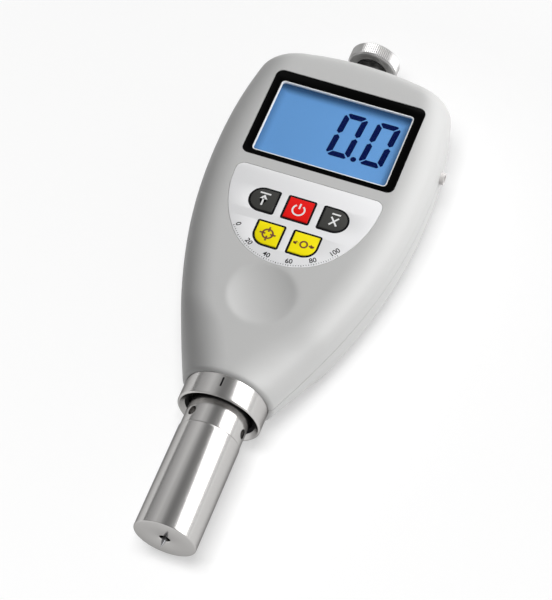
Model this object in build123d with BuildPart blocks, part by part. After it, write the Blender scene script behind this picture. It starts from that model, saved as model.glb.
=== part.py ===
from build123d import *
import math
import os

# Hand-held digital hardness tester (durometer), millimetres.
# X points to the right of the display, Y runs along the instrument from the presser foot
# to the knurled nut, Z points out of the display.
# The origin is the centre of the presser foot's face, on the axis of the indenter.

os.makedirs("parts", exist_ok=True)

# Presser foot and indenter, as ISO 868 sets them for the type D scale
foot_diameter = 18.0
foot_thickness = 3.0
foot_hole = 3.0
foot_chamfer = 0.35
indenter_diameter = 1.25
indenter_angle = 30.0
indenter_tip = 0.2
indenter_travel = 2.5
spring_rate = 17.78

# Probe tube, collar and the parts inside them
barrel_length = 32.0
neck_diameter = 17.6
neck_stem = 14.0
neck_stem_length = 11.0
spigot_length = 6.0
spring_bore = 12.4
tommy_hole = 2.8
tommy_depth = 2.2
tommy_place = 3.4
tommy_angles = (-42.0, 78.0, 198.0)
collar_diameter = 24.3
collar_length = 6.6
collar_place = 39.0
collar_gap = 0.75
collar_sink = 2.0
collar_seat = 2.2
collar_edge = 0.45
locknut_width = 17.0
locknut_length = 3.5
bush_diameter = 10.0
bush_length = 8.0
spindle_diameter = 4.0
spindle_start = 5.0
spindle_flange = 11.0
spindle_flange_length = 3.0
spindle_length = 54.0
spindle_tail_diameter = 2.0
spindle_tail_length = 15.0
indenter_grip = 9.0
indenter_screw_diameter = 1.6
indenter_screw_place = 12.5
spring_length = 29.6
spring_wire = 1.7
spring_mean = 8.8
spring_shear_modulus = 79000.0
adjuster_length = 5.0
rear_bush_diameter = 7.0
rear_bush_length = 7.0
core_diameter = 4.0
core_length = 12.0
former_length = 24.0
former_diameter = 9.0
former_bore = 5.2
former_spigot = 3.0
former_flange = 1.4
winding_diameter = 13.4

# Housing
housing_top = 159.9
housing_top_arch = 95.0
housing_round = 4.6
nose_round = 1.8
front_height = 11.77
back_depth = 16.2
wall = 2.4
nose_wall = 3.0
corner_across = 9.5
corner_front = 6.8
corner_back_across = 8.5
corner_back = 12.0
groove = 0.3
dish_radius = 9.8
dish_depth = 1.3
dish_place = 73.5

# Display window
window_width = 46.3
window_height = 31.5
window_corner = 2.2
window_place = 132.55
opening_width = 41.0
opening_height = 26.2
opening_place = 131.75
opening_corner = 1.2
trim_width = 0.5
pane_thickness = 0.8
bezel_sunk = 0.15
bezel_depth = 1.87
display_width = 43.0
display_height = 30.4
display_thickness = 2.2
backlight_height = 25.0
connector_width = 2.2

# Keypad
label_top = 113.4
label_bottom = 83.6
label_half_width = 22.2
label_corner = 2.5
label_foot_radius = 19.8
label_foot_half = 16.0
label_recess = 0.5
label_thickness = 0.45
key_width = 7.95
key_height = 7.65
key_round = 3.8
key_gap = 0.3
key_proud = 0.2
key_travel = 0.3
key_flange = 0.7
key_flange_thickness = 0.9
key_stem = 3.2
upper_keys_y = 102.9
upper_keys_pitch = 10.7
lower_keys_y = 92.35
lower_keys_pitch = 10.8

# Electronics
board_top = 4.6
board_thickness = 1.6
board_start = 84.5
board_end = 152.4
board_corner_start = 6.0
board_corner_end = 3.0
board_half_width = 25.6
switch_width = 6.0
switch_height = 2.2
plunger_diameter = 3.0
plunger_length = 1.4
plunger_proud = 0.5
boss_diameter = 4.8
board_screw_diameter = 1.8
board_screw_head = 3.4
board_boss_x = 23.2
board_boss_y = (95.8, 150.6)

# Socket for the data lead
jack_y = 134.9
jack_z = -0.4
jack_nose_diameter = 3.6
jack_nose_length = 4.1
jack_body_width = 6.0
jack_body_start = 23.5
jack_bore = 2.56
jack_bore_depth = 8.8

# Battery bay and door
cell_diameter = 10.5
cell_length = 44.5
cell_pitch = 10.65
cell_count = 4
cell_nub = 3.8
cell_nub_length = 0.8
bay_wall = 1.2
bay_start = 95.0
bay_end_room = 3.4
door_thickness = 2.2
door_ledge = 0.7
door_end_ledge = 2.3
door_tongue = 0.7
door_tongue_height = 0.8
door_seat_thickness = 1.6
contact_thickness = 0.4

# Screws that hold the two covers together
cover_screw_places = [(-14.4, 66.0), (14.4, 66.0), (-26.6, 121.0), (26.6, 121.0)]
cover_screw_diameter = 2.5
cover_screw_head = 4.6
cover_screw_head_length = 2.0
cover_screw_length = 12.0
cover_screw_sunk = 8.0
cover_post = 6.0

# Stud and knurled nut at the top end
stem_diameter = 7.0
stem_length = 5.1
stud_inner_diameter = 6.0
stud_inner_length = 7.0
stud_thread = 5.0
stud_thread_length = 4.0
stud_nut_width = 10.0
stud_nut_length = 4.0
washer_diameter = 9.6
washer_thickness = 0.4
nut_diameter = 15.3
nut_length = 4.6
nut_teeth = 40
nut_tooth_depth = 0.28
nut_chamfer = 0.6
nut_dish = 0.5

# Clearances
running = 0.08
slip = 0.2
thread = 0.05

# Half width, front height and back depth of the housing at places along it
stations = [
    (collar_place + collar_length, 13.1, 12.5, 13.0),
    (52.0, 15.9, 12.2, 14.8),
    (59.0, 18.8, 11.95, 16.1),
    (68.0, 22.3, front_height, 16.7),
    (80.0, 26.2, front_height, 16.8),
    (92.0, 29.2, front_height, 16.8),
    (106.0, 31.4, front_height, 16.8),
    (121.0, 32.3, front_height, 16.8),
    (137.0, 31.8, front_height, 16.8),
    (151.0, 29.7, front_height, 16.8),
    (165.0, 26.4, front_height, 16.8),
]
nose_y = stations[0][0]
inner_front = front_height - wall
inner_back = -back_depth + wall
neck_start = barrel_length
foot_radius = foot_diameter / 2


def across(y):
    """Plane across the instrument at y, with its normal towards the knurled nut."""
    return Plane(origin=(0, y, 0), x_dir=(1, 0, 0), z_dir=(0, 1, 0))


def housing_body(inset):
    """Outer form of the housing, drawn in by inset on every side."""
    with BuildPart() as body:
        for y, half_width, front, back in stations:
            w = half_width - inset
            z_front = front - inset
            z_back = inset - back
            a_front = min(corner_across, half_width - 0.6) - inset
            a_back = min(corner_back_across, half_width - 0.6) - inset
            if y < stations[3][0]:
                share = (y - nose_y) / (stations[3][0] - nose_y)
                a_front = (half_width - 0.6) * (1 - share) + corner_across * share - inset
                a_back = (half_width - 0.6) * (1 - share) + corner_back_across * share - inset
            b_front = corner_front + (front - corner_front - 0.3) * max(0, 1 - (y - nose_y) / 22) - inset
            b_back = corner_back + (back - corner_back - 0.3) * max(0, 1 - (y - nose_y) / 22) - inset
            with BuildSketch(Plane(origin=(0, y, 0), x_dir=(1, 0, 0), z_dir=(0, -1, 0))):
                with BuildLine():
                    EllipticalCenterArc((w - a_front, z_front - b_front), a_front, b_front, 0, arc_size=90)
                    Line((w - a_front, z_front), (a_front - w, z_front))
                    EllipticalCenterArc((a_front - w, z_front - b_front), a_front, b_front, 90, arc_size=90)
                    Line((-w, z_front - b_front), (-w, z_back + b_back))
                    EllipticalCenterArc((a_back - w, z_back + b_back), a_back, b_back, 180, arc_size=90)
                    Line((a_back - w, z_back), (w - a_back, z_back))
                    EllipticalCenterArc((w - a_back, z_back + b_back), a_back, b_back, 270, arc_size=90)
                    Line((w, z_back + b_back), (w, z_front - b_front))
                make_face()
        loft()
        with BuildSketch(Plane.XY):
            with Locations((0, housing_top - housing_top_arch)):
                Circle(housing_top_arch - inset)
        extrude(amount=40, both=True, mode=Mode.INTERSECT)
        fillet(body.faces().sort_by(Axis.Y)[-1].edges(), housing_round - inset)
        split(bisect_by=Plane.XY.offset(-back_depth + inset), keep=Keep.TOP)
        if inset < nose_round:
            fillet(body.faces().sort_by(Axis.Y)[0].edges(), nose_round - inset)
        else:
            split(bisect_by=across(nose_y + nose_wall), keep=Keep.TOP)
    return body.part


outer_form = housing_body(0)
inner_form = housing_body(wall)
groove_form = housing_body(groove)


def rod(y, length, diameter, mode=Mode.ADD):
    """Round bar, or hole, on the axis of the indenter, from y upwards."""
    with BuildSketch(across(y)) as section:
        Circle(diameter / 2)
    extrude(section.sketch, amount=length, mode=mode)


def post(x, y, low, high, diameter, mode=Mode.ADD):
    """Round post, or hole, square to the display."""
    with BuildSketch(Plane.XY.offset(low)) as section:
        with Locations((x, y)):
            Circle(diameter / 2)
    extrude(section.sketch, amount=high - low, mode=mode)


def slab(x, y, z, mode=Mode.ADD):
    """Block between two limits in each direction."""
    with BuildSketch(Plane.XY.offset(z[0])) as section:
        with Locations(((x[0] + x[1]) / 2, (y[0] + y[1]) / 2)):
            Rectangle(x[1] - x[0], y[1] - y[0])
    extrude(section.sketch, amount=z[1] - z[0], mode=mode)


def window(width, height, corner, place, low, high, mode=Mode.ADD):
    """Plate, or opening, with rounded corners in the display's plane."""
    with BuildSketch(Plane.XY.offset(low)) as section:
        with Locations((0, place)):
            RectangleRounded(width, height, corner)
    extrude(section.sketch, amount=high - low, mode=mode)


def finish(part, name):
    """Name a finished piece and write it."""
    part.part.label = name
    export_step(part.part, f"parts/{name}.step")


# Presser barrel: the steel foot that stands on the sample, screwed onto the neck
barrel_step = foot_thickness + bush_length
with BuildPart() as presser_barrel:
    rod(0, barrel_length, foot_diameter)
    chamfer(presser_barrel.edges().filter_by(GeomType.CIRCLE), foot_chamfer)
    rod(0, foot_thickness, foot_hole, Mode.SUBTRACT)
    rod(foot_thickness, bush_length, bush_diameter, Mode.SUBTRACT)
    rod(barrel_step, barrel_length - barrel_step, neck_stem + 2 * thread, Mode.SUBTRACT)
finish(presser_barrel, "presser_barrel")

# Neck: joins the barrel to the housing, with three holes for a tommy bar
neck_end = nose_y + neck_stem_length
with BuildPart() as probe_neck:
    rod(neck_start - spigot_length, spigot_length, neck_stem)
    rod(neck_start, nose_y - neck_start, neck_diameter)
    rod(nose_y, neck_stem_length, neck_stem)
    rod(neck_start - spigot_length, neck_end - neck_start + spigot_length, spring_bore, Mode.SUBTRACT)
    for angle in tommy_angles:
        out_x = math.sin(math.radians(angle))
        out_z = math.cos(math.radians(angle))
        floor = neck_diameter / 2 - tommy_depth
        place = (floor * out_x, neck_start + tommy_place, floor * out_z)
        with BuildSketch(Plane(origin=place, z_dir=(out_x, 0, out_z))):
            Circle(tommy_hole / 2)
        extrude(amount=2 * tommy_depth, mode=Mode.SUBTRACT)
finish(probe_neck, "probe_neck")

# Collar: the polished ring that closes the nose of the housing round the neck
with BuildPart() as collar_ring:
    rod(collar_place, collar_length, collar_diameter)
    chamfer(collar_ring.edges().filter_by(GeomType.CIRCLE).sort_by(Axis.Y)[0], collar_edge)
    rod(collar_place, collar_length, neck_diameter + 2 * thread, Mode.SUBTRACT)
    rod(collar_place, collar_length - collar_seat, neck_diameter + 2 * collar_gap, Mode.SUBTRACT)
    front_edges = collar_ring.edges().filter_by(GeomType.CIRCLE).group_by(Axis.Y)[0]
    chamfer(front_edges.sort_by(SortBy.RADIUS)[0], collar_sink)
finish(collar_ring, "collar_ring")

# Locknut: draws the neck's shoulder against the nose from inside the housing
with BuildPart() as probe_locknut:
    with BuildSketch(across(nose_y + nose_wall)):
        RegularPolygon(locknut_width / 2, 6, major_radius=False)
    extrude(amount=locknut_length)
    rod(nose_y + nose_wall, locknut_length, neck_stem + 2 * thread, Mode.SUBTRACT)
finish(probe_locknut, "probe_locknut")

# Bushes that guide the spindle in front of and behind the spring
with BuildPart() as front_bush:
    rod(foot_thickness, bush_length, bush_diameter)
    rod(foot_thickness, bush_length, spindle_diameter + 2 * running, Mode.SUBTRACT)
finish(front_bush, "front_bush")

flange_end = barrel_step + spindle_flange_length
adjuster_start = flange_end + spring_length + 2 * slip
with BuildPart() as rear_bush:
    rod(adjuster_start, rear_bush_length, rear_bush_diameter)
    rod(adjuster_start, rear_bush_length, spindle_diameter + 2 * running, Mode.SUBTRACT)
finish(rear_bush, "rear_bush")

# Adjuster: threaded plug behind the spring, turned with a pin spanner to set the load
with BuildPart() as spring_adjuster:
    rod(adjuster_start, adjuster_length, spring_bore - 2 * thread)
    rod(adjuster_start, adjuster_length, rear_bush_diameter, Mode.SUBTRACT)
    with BuildSketch(across(adjuster_start + adjuster_length)):
        with PolarLocations((spring_bore + rear_bush_diameter) / 4, 2):
            Circle(0.7)
    extrude(amount=-2.5, mode=Mode.SUBTRACT)
finish(spring_adjuster, "spring_adjuster")

# Indenter: hardened needle with a 30 degree cone and a small flat on its tip
cone_length = (indenter_diameter - indenter_tip) / 2 / math.tan(math.radians(indenter_angle / 2))
indenter_end = spindle_start + indenter_grip
with BuildPart() as indenter:
    with BuildSketch(Plane.XY):
        with BuildLine():
            Polyline(
                (0, -indenter_travel),
                (indenter_tip / 2, -indenter_travel),
                (indenter_diameter / 2, cone_length - indenter_travel),
                (indenter_diameter / 2, indenter_end),
                (0, indenter_end),
                close=True,
            )
        make_face()
    revolve(axis=Axis.Y)
finish(indenter, "indenter")

# Spindle: carries the indenter, the spring's seat and the core of the sensor
spindle_end = spindle_start + spindle_length
with BuildPart() as spindle:
    rod(spindle_start, spindle_length, spindle_diameter)
    rod(barrel_step, spindle_flange_length, spindle_flange)
    rod(spindle_end, spindle_tail_length, spindle_tail_diameter)
    rod(spindle_start, indenter_grip, indenter_diameter, Mode.SUBTRACT)
    post(0, indenter_screw_place, 0, spindle_flange / 2, indenter_screw_diameter, Mode.SUBTRACT)
finish(spindle, "spindle")

with BuildPart() as indenter_screw:
    post(0, indenter_screw_place, indenter_diameter / 2, spindle_flange / 2 - slip, indenter_screw_diameter)
finish(indenter_screw, "indenter_screw")

# Load spring: square wire, with as many turns as give the standard's spring rate
spring_turns = spring_shear_modulus * spring_wire**4 / (5.6 * spring_mean**3 * spring_rate)
spring_rise = spring_length - spring_wire * 1.1
spring_start = flange_end + slip + spring_wire * 0.55
with BuildPart() as load_spring:
    with BuildLine() as coil:
        Helix(
            spring_rise / spring_turns,
            spring_rise,
            spring_mean / 2,
            center=(0, spring_start, 0),
            direction=(0, 1, 0),
        )
    with BuildSketch(Plane(origin=coil.line @ 0, x_dir=(0, 1, 0), z_dir=coil.line % 0)):
        Rectangle(spring_wire, spring_wire)
    sweep(is_frenet=True)
finish(load_spring, "load_spring")

# Travel sensor: a core on the spindle's tail moves inside two windings on a former
with BuildPart() as sensor_core:
    rod(spindle_end, core_length, core_diameter)
    rod(spindle_end, core_length, spindle_tail_diameter, Mode.SUBTRACT)
finish(sensor_core, "sensor_core")

former_middle = neck_end + (former_length - former_flange) / 2
with BuildPart() as coil_former:
    rod(neck_end - former_spigot, former_spigot, spring_bore - 2 * thread)
    rod(neck_end, former_length, former_diameter)
    for flange_y in (neck_end, former_middle, neck_end + former_length - former_flange):
        rod(flange_y, former_flange, winding_diameter + 0.8)
    rod(neck_end - former_spigot, former_length + former_spigot, former_bore, Mode.SUBTRACT)
finish(coil_former, "coil_former")

winding_length = former_middle - neck_end - former_flange
with BuildPart() as coil_windings:
    for winding_y in (neck_end + former_flange, former_middle + former_flange):
        rod(winding_y, winding_length, winding_diameter)
        rod(winding_y, winding_length, former_diameter, Mode.SUBTRACT)
finish(coil_windings, "coil_windings")

# Keys: place in the keypad and the corners that are round, as signs along X and Y
keys = {
    "peak": (-upper_keys_pitch, upper_keys_y, [(-1, -1), (-1, 1)]),
    "power": (0, upper_keys_y, []),
    "average": (upper_keys_pitch, upper_keys_y, [(1, -1), (1, 1)]),
    "calibrate": (-lower_keys_pitch / 2, lower_keys_y, [(-1, -1)]),
    "zero": (lower_keys_pitch / 2, lower_keys_y, [(1, -1)]),
}


def key_face(name, grow, z):
    """Outline of a key at height z, grown by a margin."""
    x, y, rounded = keys[name]
    with BuildSketch(Plane.XY.offset(z)) as face:
        with Locations((x, y)):
            Rectangle(key_width + 2 * grow, key_height + 2 * grow)
        corners = [v for v in face.vertices() if (sign(v.X - x), sign(v.Y - y)) in rounded]
        if corners:
            fillet(corners, key_round + grow)
    return face.sketch


def sign(value):
    """Which side of zero a value lies on."""
    return 1 if value > 0 else -1


def label_face(grow, z):
    """Outline of the keypad label: straight top, round foot, bowed sides."""
    half = label_half_width + grow
    top = label_top + grow
    corner = label_corner + grow
    foot_radius_grown = label_foot_radius + grow
    foot_centre = label_bottom + label_foot_radius
    foot_half = label_foot_half * foot_radius_grown / label_foot_radius
    foot_drop = math.sqrt(foot_radius_grown**2 - foot_half**2)
    foot_y = foot_centre - foot_drop
    with BuildSketch(Plane.XY.offset(z)) as face:
        with BuildLine():
            ThreePointArc((-foot_half, foot_y), (0, foot_centre - foot_radius_grown), (foot_half, foot_y))
            TangentArc((foot_half, foot_y), (half, top - corner), tangent=(foot_drop, foot_half))
            RadiusArc((half - corner, top), (half, top - corner), corner)
            Line((half - corner, top), (corner - half, top))
            RadiusArc((-half, top - corner), (corner - half, top), corner)
            TangentArc((-foot_half, foot_y), (-half, top - corner), tangent=(-foot_drop, foot_half))
        make_face()
    return face.sketch


label_floor = front_height - label_recess
label_face_height = label_floor + label_thickness
with BuildPart() as keypad_label:
    extrude(label_face(-slip / 2, label_floor), amount=label_thickness)
    for name in keys:
        extrude(key_face(name, 0, label_floor), amount=label_thickness, mode=Mode.SUBTRACT)
finish(keypad_label, "keypad_label")

# Each key: cap, flange under the cover that holds it in, stem, and the switch plunger below
key_top = label_face_height + key_proud
key_flange_top = inner_front - thread
key_flange_low = key_flange_top - key_flange_thickness
plunger_top = board_top + switch_height + plunger_proud
for name in keys:
    key_x, key_y, _ = keys[name]
    with BuildPart() as key:
        extrude(key_face(name, -key_gap, key_flange_top), amount=key_top - key_flange_top)
        fillet(key.faces().sort_by(Axis.Z)[-1].edges(), key_proud * 0.7)
        extrude(key_face(name, key_flange, key_flange_low), amount=key_flange_thickness)
        post(key_x, key_y, plunger_top, key_flange_low, key_stem)
    finish(key, f"key_{name}")
    with BuildPart() as plunger:
        post(key_x, key_y, plunger_top - plunger_length, plunger_top, plunger_diameter)
    finish(plunger, f"plunger_{name}")

with BuildPart() as key_switches:
    for key_x, key_y, _ in keys.values():
        half = switch_width / 2
        switch_top = board_top + switch_height
        slab((key_x - half, key_x + half), (key_y - half, key_y + half), (board_top, switch_top))
        well = switch_top - plunger_length
        post(key_x, key_y, well, plunger_top, plunger_diameter + 2 * running, Mode.SUBTRACT)
finish(key_switches, "key_switches")

# Display: bezel, bright trim and clear pane in the pocket, glass and backlight below it
pocket_floor = front_height - bezel_depth
bezel_low = pocket_floor + pane_thickness
bezel_top = front_height - bezel_sunk
with BuildPart() as window_pane:
    window(window_width - slip, window_height - slip, window_corner, window_place, pocket_floor, bezel_low)
finish(window_pane, "window_pane")

with BuildPart() as window_bezel:
    window(window_width - slip, window_height - slip, window_corner, window_place, bezel_low, bezel_top)
    window(opening_width, opening_height, opening_corner, opening_place, bezel_low, bezel_top, Mode.SUBTRACT)
finish(window_bezel, "window_bezel")

with BuildPart() as window_trim:
    trim_top = bezel_top - bezel_sunk
    window(opening_width, opening_height, opening_corner, opening_place, bezel_low, trim_top)
    inner_width = opening_width - 2 * trim_width
    inner_height = opening_height - 2 * trim_width
    inner_corner = opening_corner - trim_width
    window(inner_width, inner_height, inner_corner, opening_place, bezel_low, trim_top, Mode.SUBTRACT)
finish(window_trim, "window_trim")

glass_low = pocket_floor - display_thickness
half_display = display_width / 2
with BuildPart() as display_glass:
    window(display_width, display_height, 0.5, window_place, glass_low, pocket_floor)
finish(display_glass, "display_glass")

with BuildPart() as backlight:
    half = backlight_height / 2
    slab((-half_display, half_display), (window_place - half, window_place + half), (board_top, glass_low))
finish(backlight, "backlight")

with BuildPart() as display_connectors:
    for side in (-1, 1):
        edge = window_place + side * (display_height - connector_width) / 2
        half = connector_width / 2
        slab((-half_display + 1, half_display - 1), (edge - half, edge + half), (board_top, glass_low))
finish(display_connectors, "display_connectors")

# Main board, its screws and the larger parts soldered to it
board_low = board_top - board_thickness
boss_places = [(side * board_boss_x, y) for side in (-1, 1) for y in board_boss_y]
side_screws = cover_screw_places[2:]
with BuildPart() as main_board:
    slab((-board_half_width, board_half_width), (board_start, board_end), (board_low, board_top))
    upright = main_board.edges().filter_by(Axis.Z)
    chamfer(upright.group_by(Axis.Y)[0], board_corner_start)
    chamfer(main_board.edges().filter_by(Axis.Z).group_by(Axis.Y)[-1], board_corner_end)
    for x, y in boss_places:
        post(x, y, board_low, board_top, board_screw_diameter + slip, Mode.SUBTRACT)
    for x, y in side_screws:
        post(x, y, board_low, board_top, cover_post + 4 * slip, Mode.SUBTRACT)
finish(main_board, "main_board")

with BuildPart() as board_screws:
    for x, y in boss_places:
        post(x, y, board_low - 1.2, board_low, board_screw_head)
        post(x, y, board_low, board_top + 3.6, board_screw_diameter)
finish(board_screws, "board_screws")

with BuildPart() as board_chips:
    slab((-6, 6), (122, 134), (board_low - 1.6, board_low))
    slab((-15, -11), (98, 103), (board_low - 1.5, board_low))
    slab((11, 15), (98, 103), (board_low - 1.5, board_low))
    slab((-17, -6), (141, 145), (board_low - 3.4, board_low))
finish(board_chips, "board_chips")

# Data socket: its nose passes through the right side wall on the parting line
jack_body_end = stations[8][1] - wall - slip
jack_nose_reach = jack_body_end + jack_nose_length
with BuildPart() as data_socket:
    half = jack_body_width / 2
    slab((jack_body_start, jack_body_end), (jack_y - half, jack_y + half), (jack_z - half, board_low))
    with BuildSketch(Plane.YZ.offset(jack_body_end)):
        with Locations((jack_y, jack_z)):
            Circle(jack_nose_diameter / 2)
    extrude(amount=jack_nose_reach - jack_body_end)
    chamfer(data_socket.edges().filter_by(GeomType.CIRCLE).sort_by(Axis.X)[-1], 0.3)
    with BuildSketch(Plane.YZ.offset(jack_nose_reach)):
        with Locations((jack_y, jack_z)):
            Circle(jack_bore / 2)
    extrude(amount=-jack_bore_depth, mode=Mode.SUBTRACT)
finish(data_socket, "data_socket")

# Battery bay, four cells side by side, every second one turned round
bay_half = cell_pitch * cell_count / 2 + slip
bay_length = cell_length + bay_end_room + 2 * contact_thickness
bay_end = bay_start + bay_length
door_seat = -back_depth + door_thickness
bay_roof = door_seat + cell_diameter + 2.5 * slip
cell_z = (door_seat + bay_roof) / 2
cell_places = [(i - (cell_count - 1) / 2) * cell_pitch for i in range(cell_count)]


def bar(x, z, y, length, diameter):
    """Round bar along the instrument, beside its axis."""
    with BuildSketch(across(y)) as section:
        with Locations((x, -z)):
            Circle(diameter / 2)
    extrude(section.sketch, amount=length)


with BuildPart() as battery_cells:
    for i, x in enumerate(cell_places):
        can = cell_length - cell_nub_length
        if i % 2 == 0:
            can_start = bay_start + contact_thickness + bay_end_room
            bar(x, cell_z, can_start, can, cell_diameter)
            bar(x, cell_z, can_start + can, cell_nub_length, cell_nub)
        else:
            can_start = bay_end - contact_thickness - bay_end_room - can
            bar(x, cell_z, can_start, can, cell_diameter)
            bar(x, cell_z, can_start - cell_nub_length, cell_nub_length, cell_nub)
finish(battery_cells, "battery_cells")

with BuildPart() as contact_plates:
    for x in cell_places:
        for y in (bay_start, bay_end - contact_thickness):
            slab((x - 4.2, x + 4.2), (y, y + contact_thickness), (cell_z - 4, cell_z + 4))
finish(contact_plates, "contact_plates")

with BuildPart() as contact_springs:
    for i, x in enumerate(cell_places):
        start = bay_start + contact_thickness
        facing = 1
        if i % 2:
            start = bay_end - contact_thickness
            facing = -1
        with BuildSketch(Plane(origin=(x, start, cell_z), x_dir=(1, 0, 0), z_dir=(0, 0, 1))):
            with BuildLine():
                step = bay_end_room / 4 * facing
                Polyline(
                    (0, 0), (3.2, 0), (2.6, step), (2.9, step), (2.2, 2 * step), (2.5, 2 * step),
                    (1.9, 3 * step), (2.1, 3 * step), (1.6, 4 * step), (0, 4 * step), close=True,
                )
            make_face()
        revolve(axis=Axis((x, 0, cell_z), (0, 1, 0)))
finish(contact_springs, "contact_springs")

# Both covers come from one hollow form, parted at the plane of the indenter's axis
with BuildPart() as parting_groove:
    slab((-50, 50), (nose_y - 5, housing_top + 5), (-groove / 2, groove / 2))
    add(groove_form, mode=Mode.SUBTRACT)


def open_ends():
    """Holes for the neck, the data socket's nose and the top stud."""
    rod(nose_y - 1, nose_wall + 2, neck_stem + 2 * thread, Mode.SUBTRACT)
    rod(housing_top - 2 * wall, 3 * wall, stud_inner_diameter + 2 * thread, Mode.SUBTRACT)
    with BuildSketch(Plane.YZ.offset(jack_body_end - 1)) as section:
        with Locations((jack_y, jack_z)):
            Circle(jack_nose_diameter / 2 + slip / 2)
    extrude(section.sketch, amount=10, mode=Mode.SUBTRACT)


dish_sphere = (dish_radius**2 + dish_depth**2) / (2 * dish_depth)
with BuildPart() as front_cover:
    add(outer_form)
    add(inner_form, mode=Mode.SUBTRACT)
    split(bisect_by=Plane.XY, keep=Keep.TOP)
    for x, y in boss_places:
        post(x, y, board_top, inner_front + 0.2, boss_diameter)
        post(x, y, board_top, inner_front - 0.4, board_screw_diameter, Mode.SUBTRACT)
    for x, y in cover_screw_places:
        post(x, y, 0, inner_front + 0.2, cover_post)
        post(x, y, 0, inner_front - 2, cover_screw_diameter, Mode.SUBTRACT)
    past_front = front_height + 1
    room = 2 * slip
    window(window_width, window_height, window_corner, window_place, pocket_floor, past_front, Mode.SUBTRACT)
    window(display_width + room, display_height + room, 0.6, window_place, 4, pocket_floor, Mode.SUBTRACT)
    extrude(label_face(0, label_floor), amount=2, mode=Mode.SUBTRACT)
    for name in keys:
        extrude(key_face(name, 0, inner_front - 1), amount=4, mode=Mode.SUBTRACT)
    with Locations((0, dish_place, front_height - dish_depth + dish_sphere)):
        Sphere(dish_sphere, mode=Mode.SUBTRACT)
    add(parting_groove.part, mode=Mode.SUBTRACT)
    open_ends()
finish(front_cover, "front_cover")

# Back cover: battery bay open to the back, seat and side grooves for the door, screw posts
door_half = bay_half + door_ledge
door_start = bay_start - door_end_ledge
groove_start = door_start + 2.5
tongue_low = door_seat - slip / 2 - door_tongue_height
past_top = housing_top + 1
with BuildPart() as seat:
    add(inner_form)
    seat_half = door_half + 2
    seat_top = door_seat + door_seat_thickness
    slab((-seat_half, seat_half), (door_start - 2, past_top), (door_seat, seat_top), Mode.INTERSECT)

with BuildPart() as back_cover:
    add(outer_form)
    add(inner_form, mode=Mode.SUBTRACT)
    split(bisect_by=Plane.XY, keep=Keep.BOTTOM)
    add(seat.part)
    out = bay_half + bay_wall
    slab((-out, out), (bay_start - bay_wall, bay_end + bay_wall), (door_seat, bay_roof + bay_wall))
    slab((-bay_half, bay_half), (bay_start, bay_end), (door_seat - 3, bay_roof), Mode.SUBTRACT)
    past_back = -back_depth - 1
    for x, y in cover_screw_places:
        post(x, y, inner_back, 0, cover_post)
        post(x, y, past_back, 0, cover_screw_diameter + slip, Mode.SUBTRACT)
        post(x, y, past_back, cover_screw_sunk - back_depth, cover_screw_head + 2 * slip, Mode.SUBTRACT)
    recess = door_half + slip
    slab((-recess, recess), (door_start - slip, past_top), (past_back, door_seat), Mode.SUBTRACT)
    recess = door_half + door_tongue + slip
    tongue_floor = tongue_low - slip / 2
    slab((-recess, recess), (groove_start - slip, past_top), (tongue_floor, door_seat), Mode.SUBTRACT)
    add(parting_groove.part, mode=Mode.SUBTRACT)
    open_ends()
finish(back_cover, "back_cover")

# Battery door: slides off past the knurled nut's end on two side tongues
with BuildPart() as battery_door:
    add(outer_form)
    door_inside = door_seat - slip / 2
    slab((-door_half, door_half), (door_start, past_top), (past_back, door_inside), Mode.INTERSECT)
    side = door_half + door_tongue
    slab((-side, side), (groove_start, bay_end), (tongue_low, door_inside))
    for i in range(5):
        rib_y = door_start + 6 + 1.8 * i
        slab((-8, 8), (rib_y, rib_y + 0.8), (past_back, 0.4 - back_depth), Mode.SUBTRACT)
finish(battery_door, "battery_door")

with BuildPart() as cover_screws:
    head_top = -back_depth + cover_screw_sunk
    for x, y in cover_screw_places:
        post(x, y, head_top - cover_screw_head_length, head_top, cover_screw_head)
        post(x, y, head_top, head_top + cover_screw_length, cover_screw_diameter)
        post(x, y, head_top - 3, head_top - 0.9, 1.4, Mode.SUBTRACT)
finish(cover_screws, "cover_screws")

# Top end: shouldered stud for a test stand, held by a nut inside, with washer and knurled nut
stem_end = housing_top + stem_length
with BuildPart() as top_stud:
    rod(housing_top - stud_inner_length, stud_inner_length, stud_inner_diameter)
    rod(housing_top, stem_length, stem_diameter)
    rod(stem_end, stud_thread_length, stud_thread)
finish(top_stud, "top_stud")

stud_nut_end = housing_top - wall - slip
with BuildPart() as stud_nut:
    with BuildSketch(across(stud_nut_end)):
        RegularPolygon(stud_nut_width / 2, 6, major_radius=False)
    extrude(amount=-stud_nut_length)
    rod(stud_nut_end - stud_nut_length, stud_nut_length, stud_inner_diameter + 2 * thread, Mode.SUBTRACT)
finish(stud_nut, "stud_nut")

with BuildPart() as nut_washer:
    rod(stem_end, washer_thickness, washer_diameter)
    rod(stem_end, washer_thickness, stud_thread + 2 * running, Mode.SUBTRACT)
finish(nut_washer, "nut_washer")

nut_start = stem_end + washer_thickness
with BuildPart() as knurled_nut:
    rod(nut_start, nut_length, nut_diameter)
    chamfer(knurled_nut.edges().filter_by(GeomType.CIRCLE), nut_chamfer)
    with BuildSketch(across(nut_start)):
        with PolarLocations(nut_diameter / 2 + nut_tooth_depth * 0.15, nut_teeth):
            Rectangle(nut_tooth_depth * 1.5, nut_tooth_depth * 1.5, rotation=45)
    extrude(amount=nut_length, mode=Mode.SUBTRACT)
    with BuildSketch(across(nut_start)):
        Circle(nut_diameter / 2 - 1.1)
        Circle(washer_diameter / 2, mode=Mode.SUBTRACT)
    extrude(amount=nut_dish, mode=Mode.SUBTRACT)
    rod(nut_start, stud_thread_length - washer_thickness + 0.3, stud_thread + 2 * running, Mode.SUBTRACT)
finish(knurled_nut, "knurled_nut")
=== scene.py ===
"""Looks of the hand-held hardness tester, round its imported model. Sizes are in millimetres."""

import math

import bmesh
import bpy
import numpy as np
from mathutils import Matrix, Vector


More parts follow.
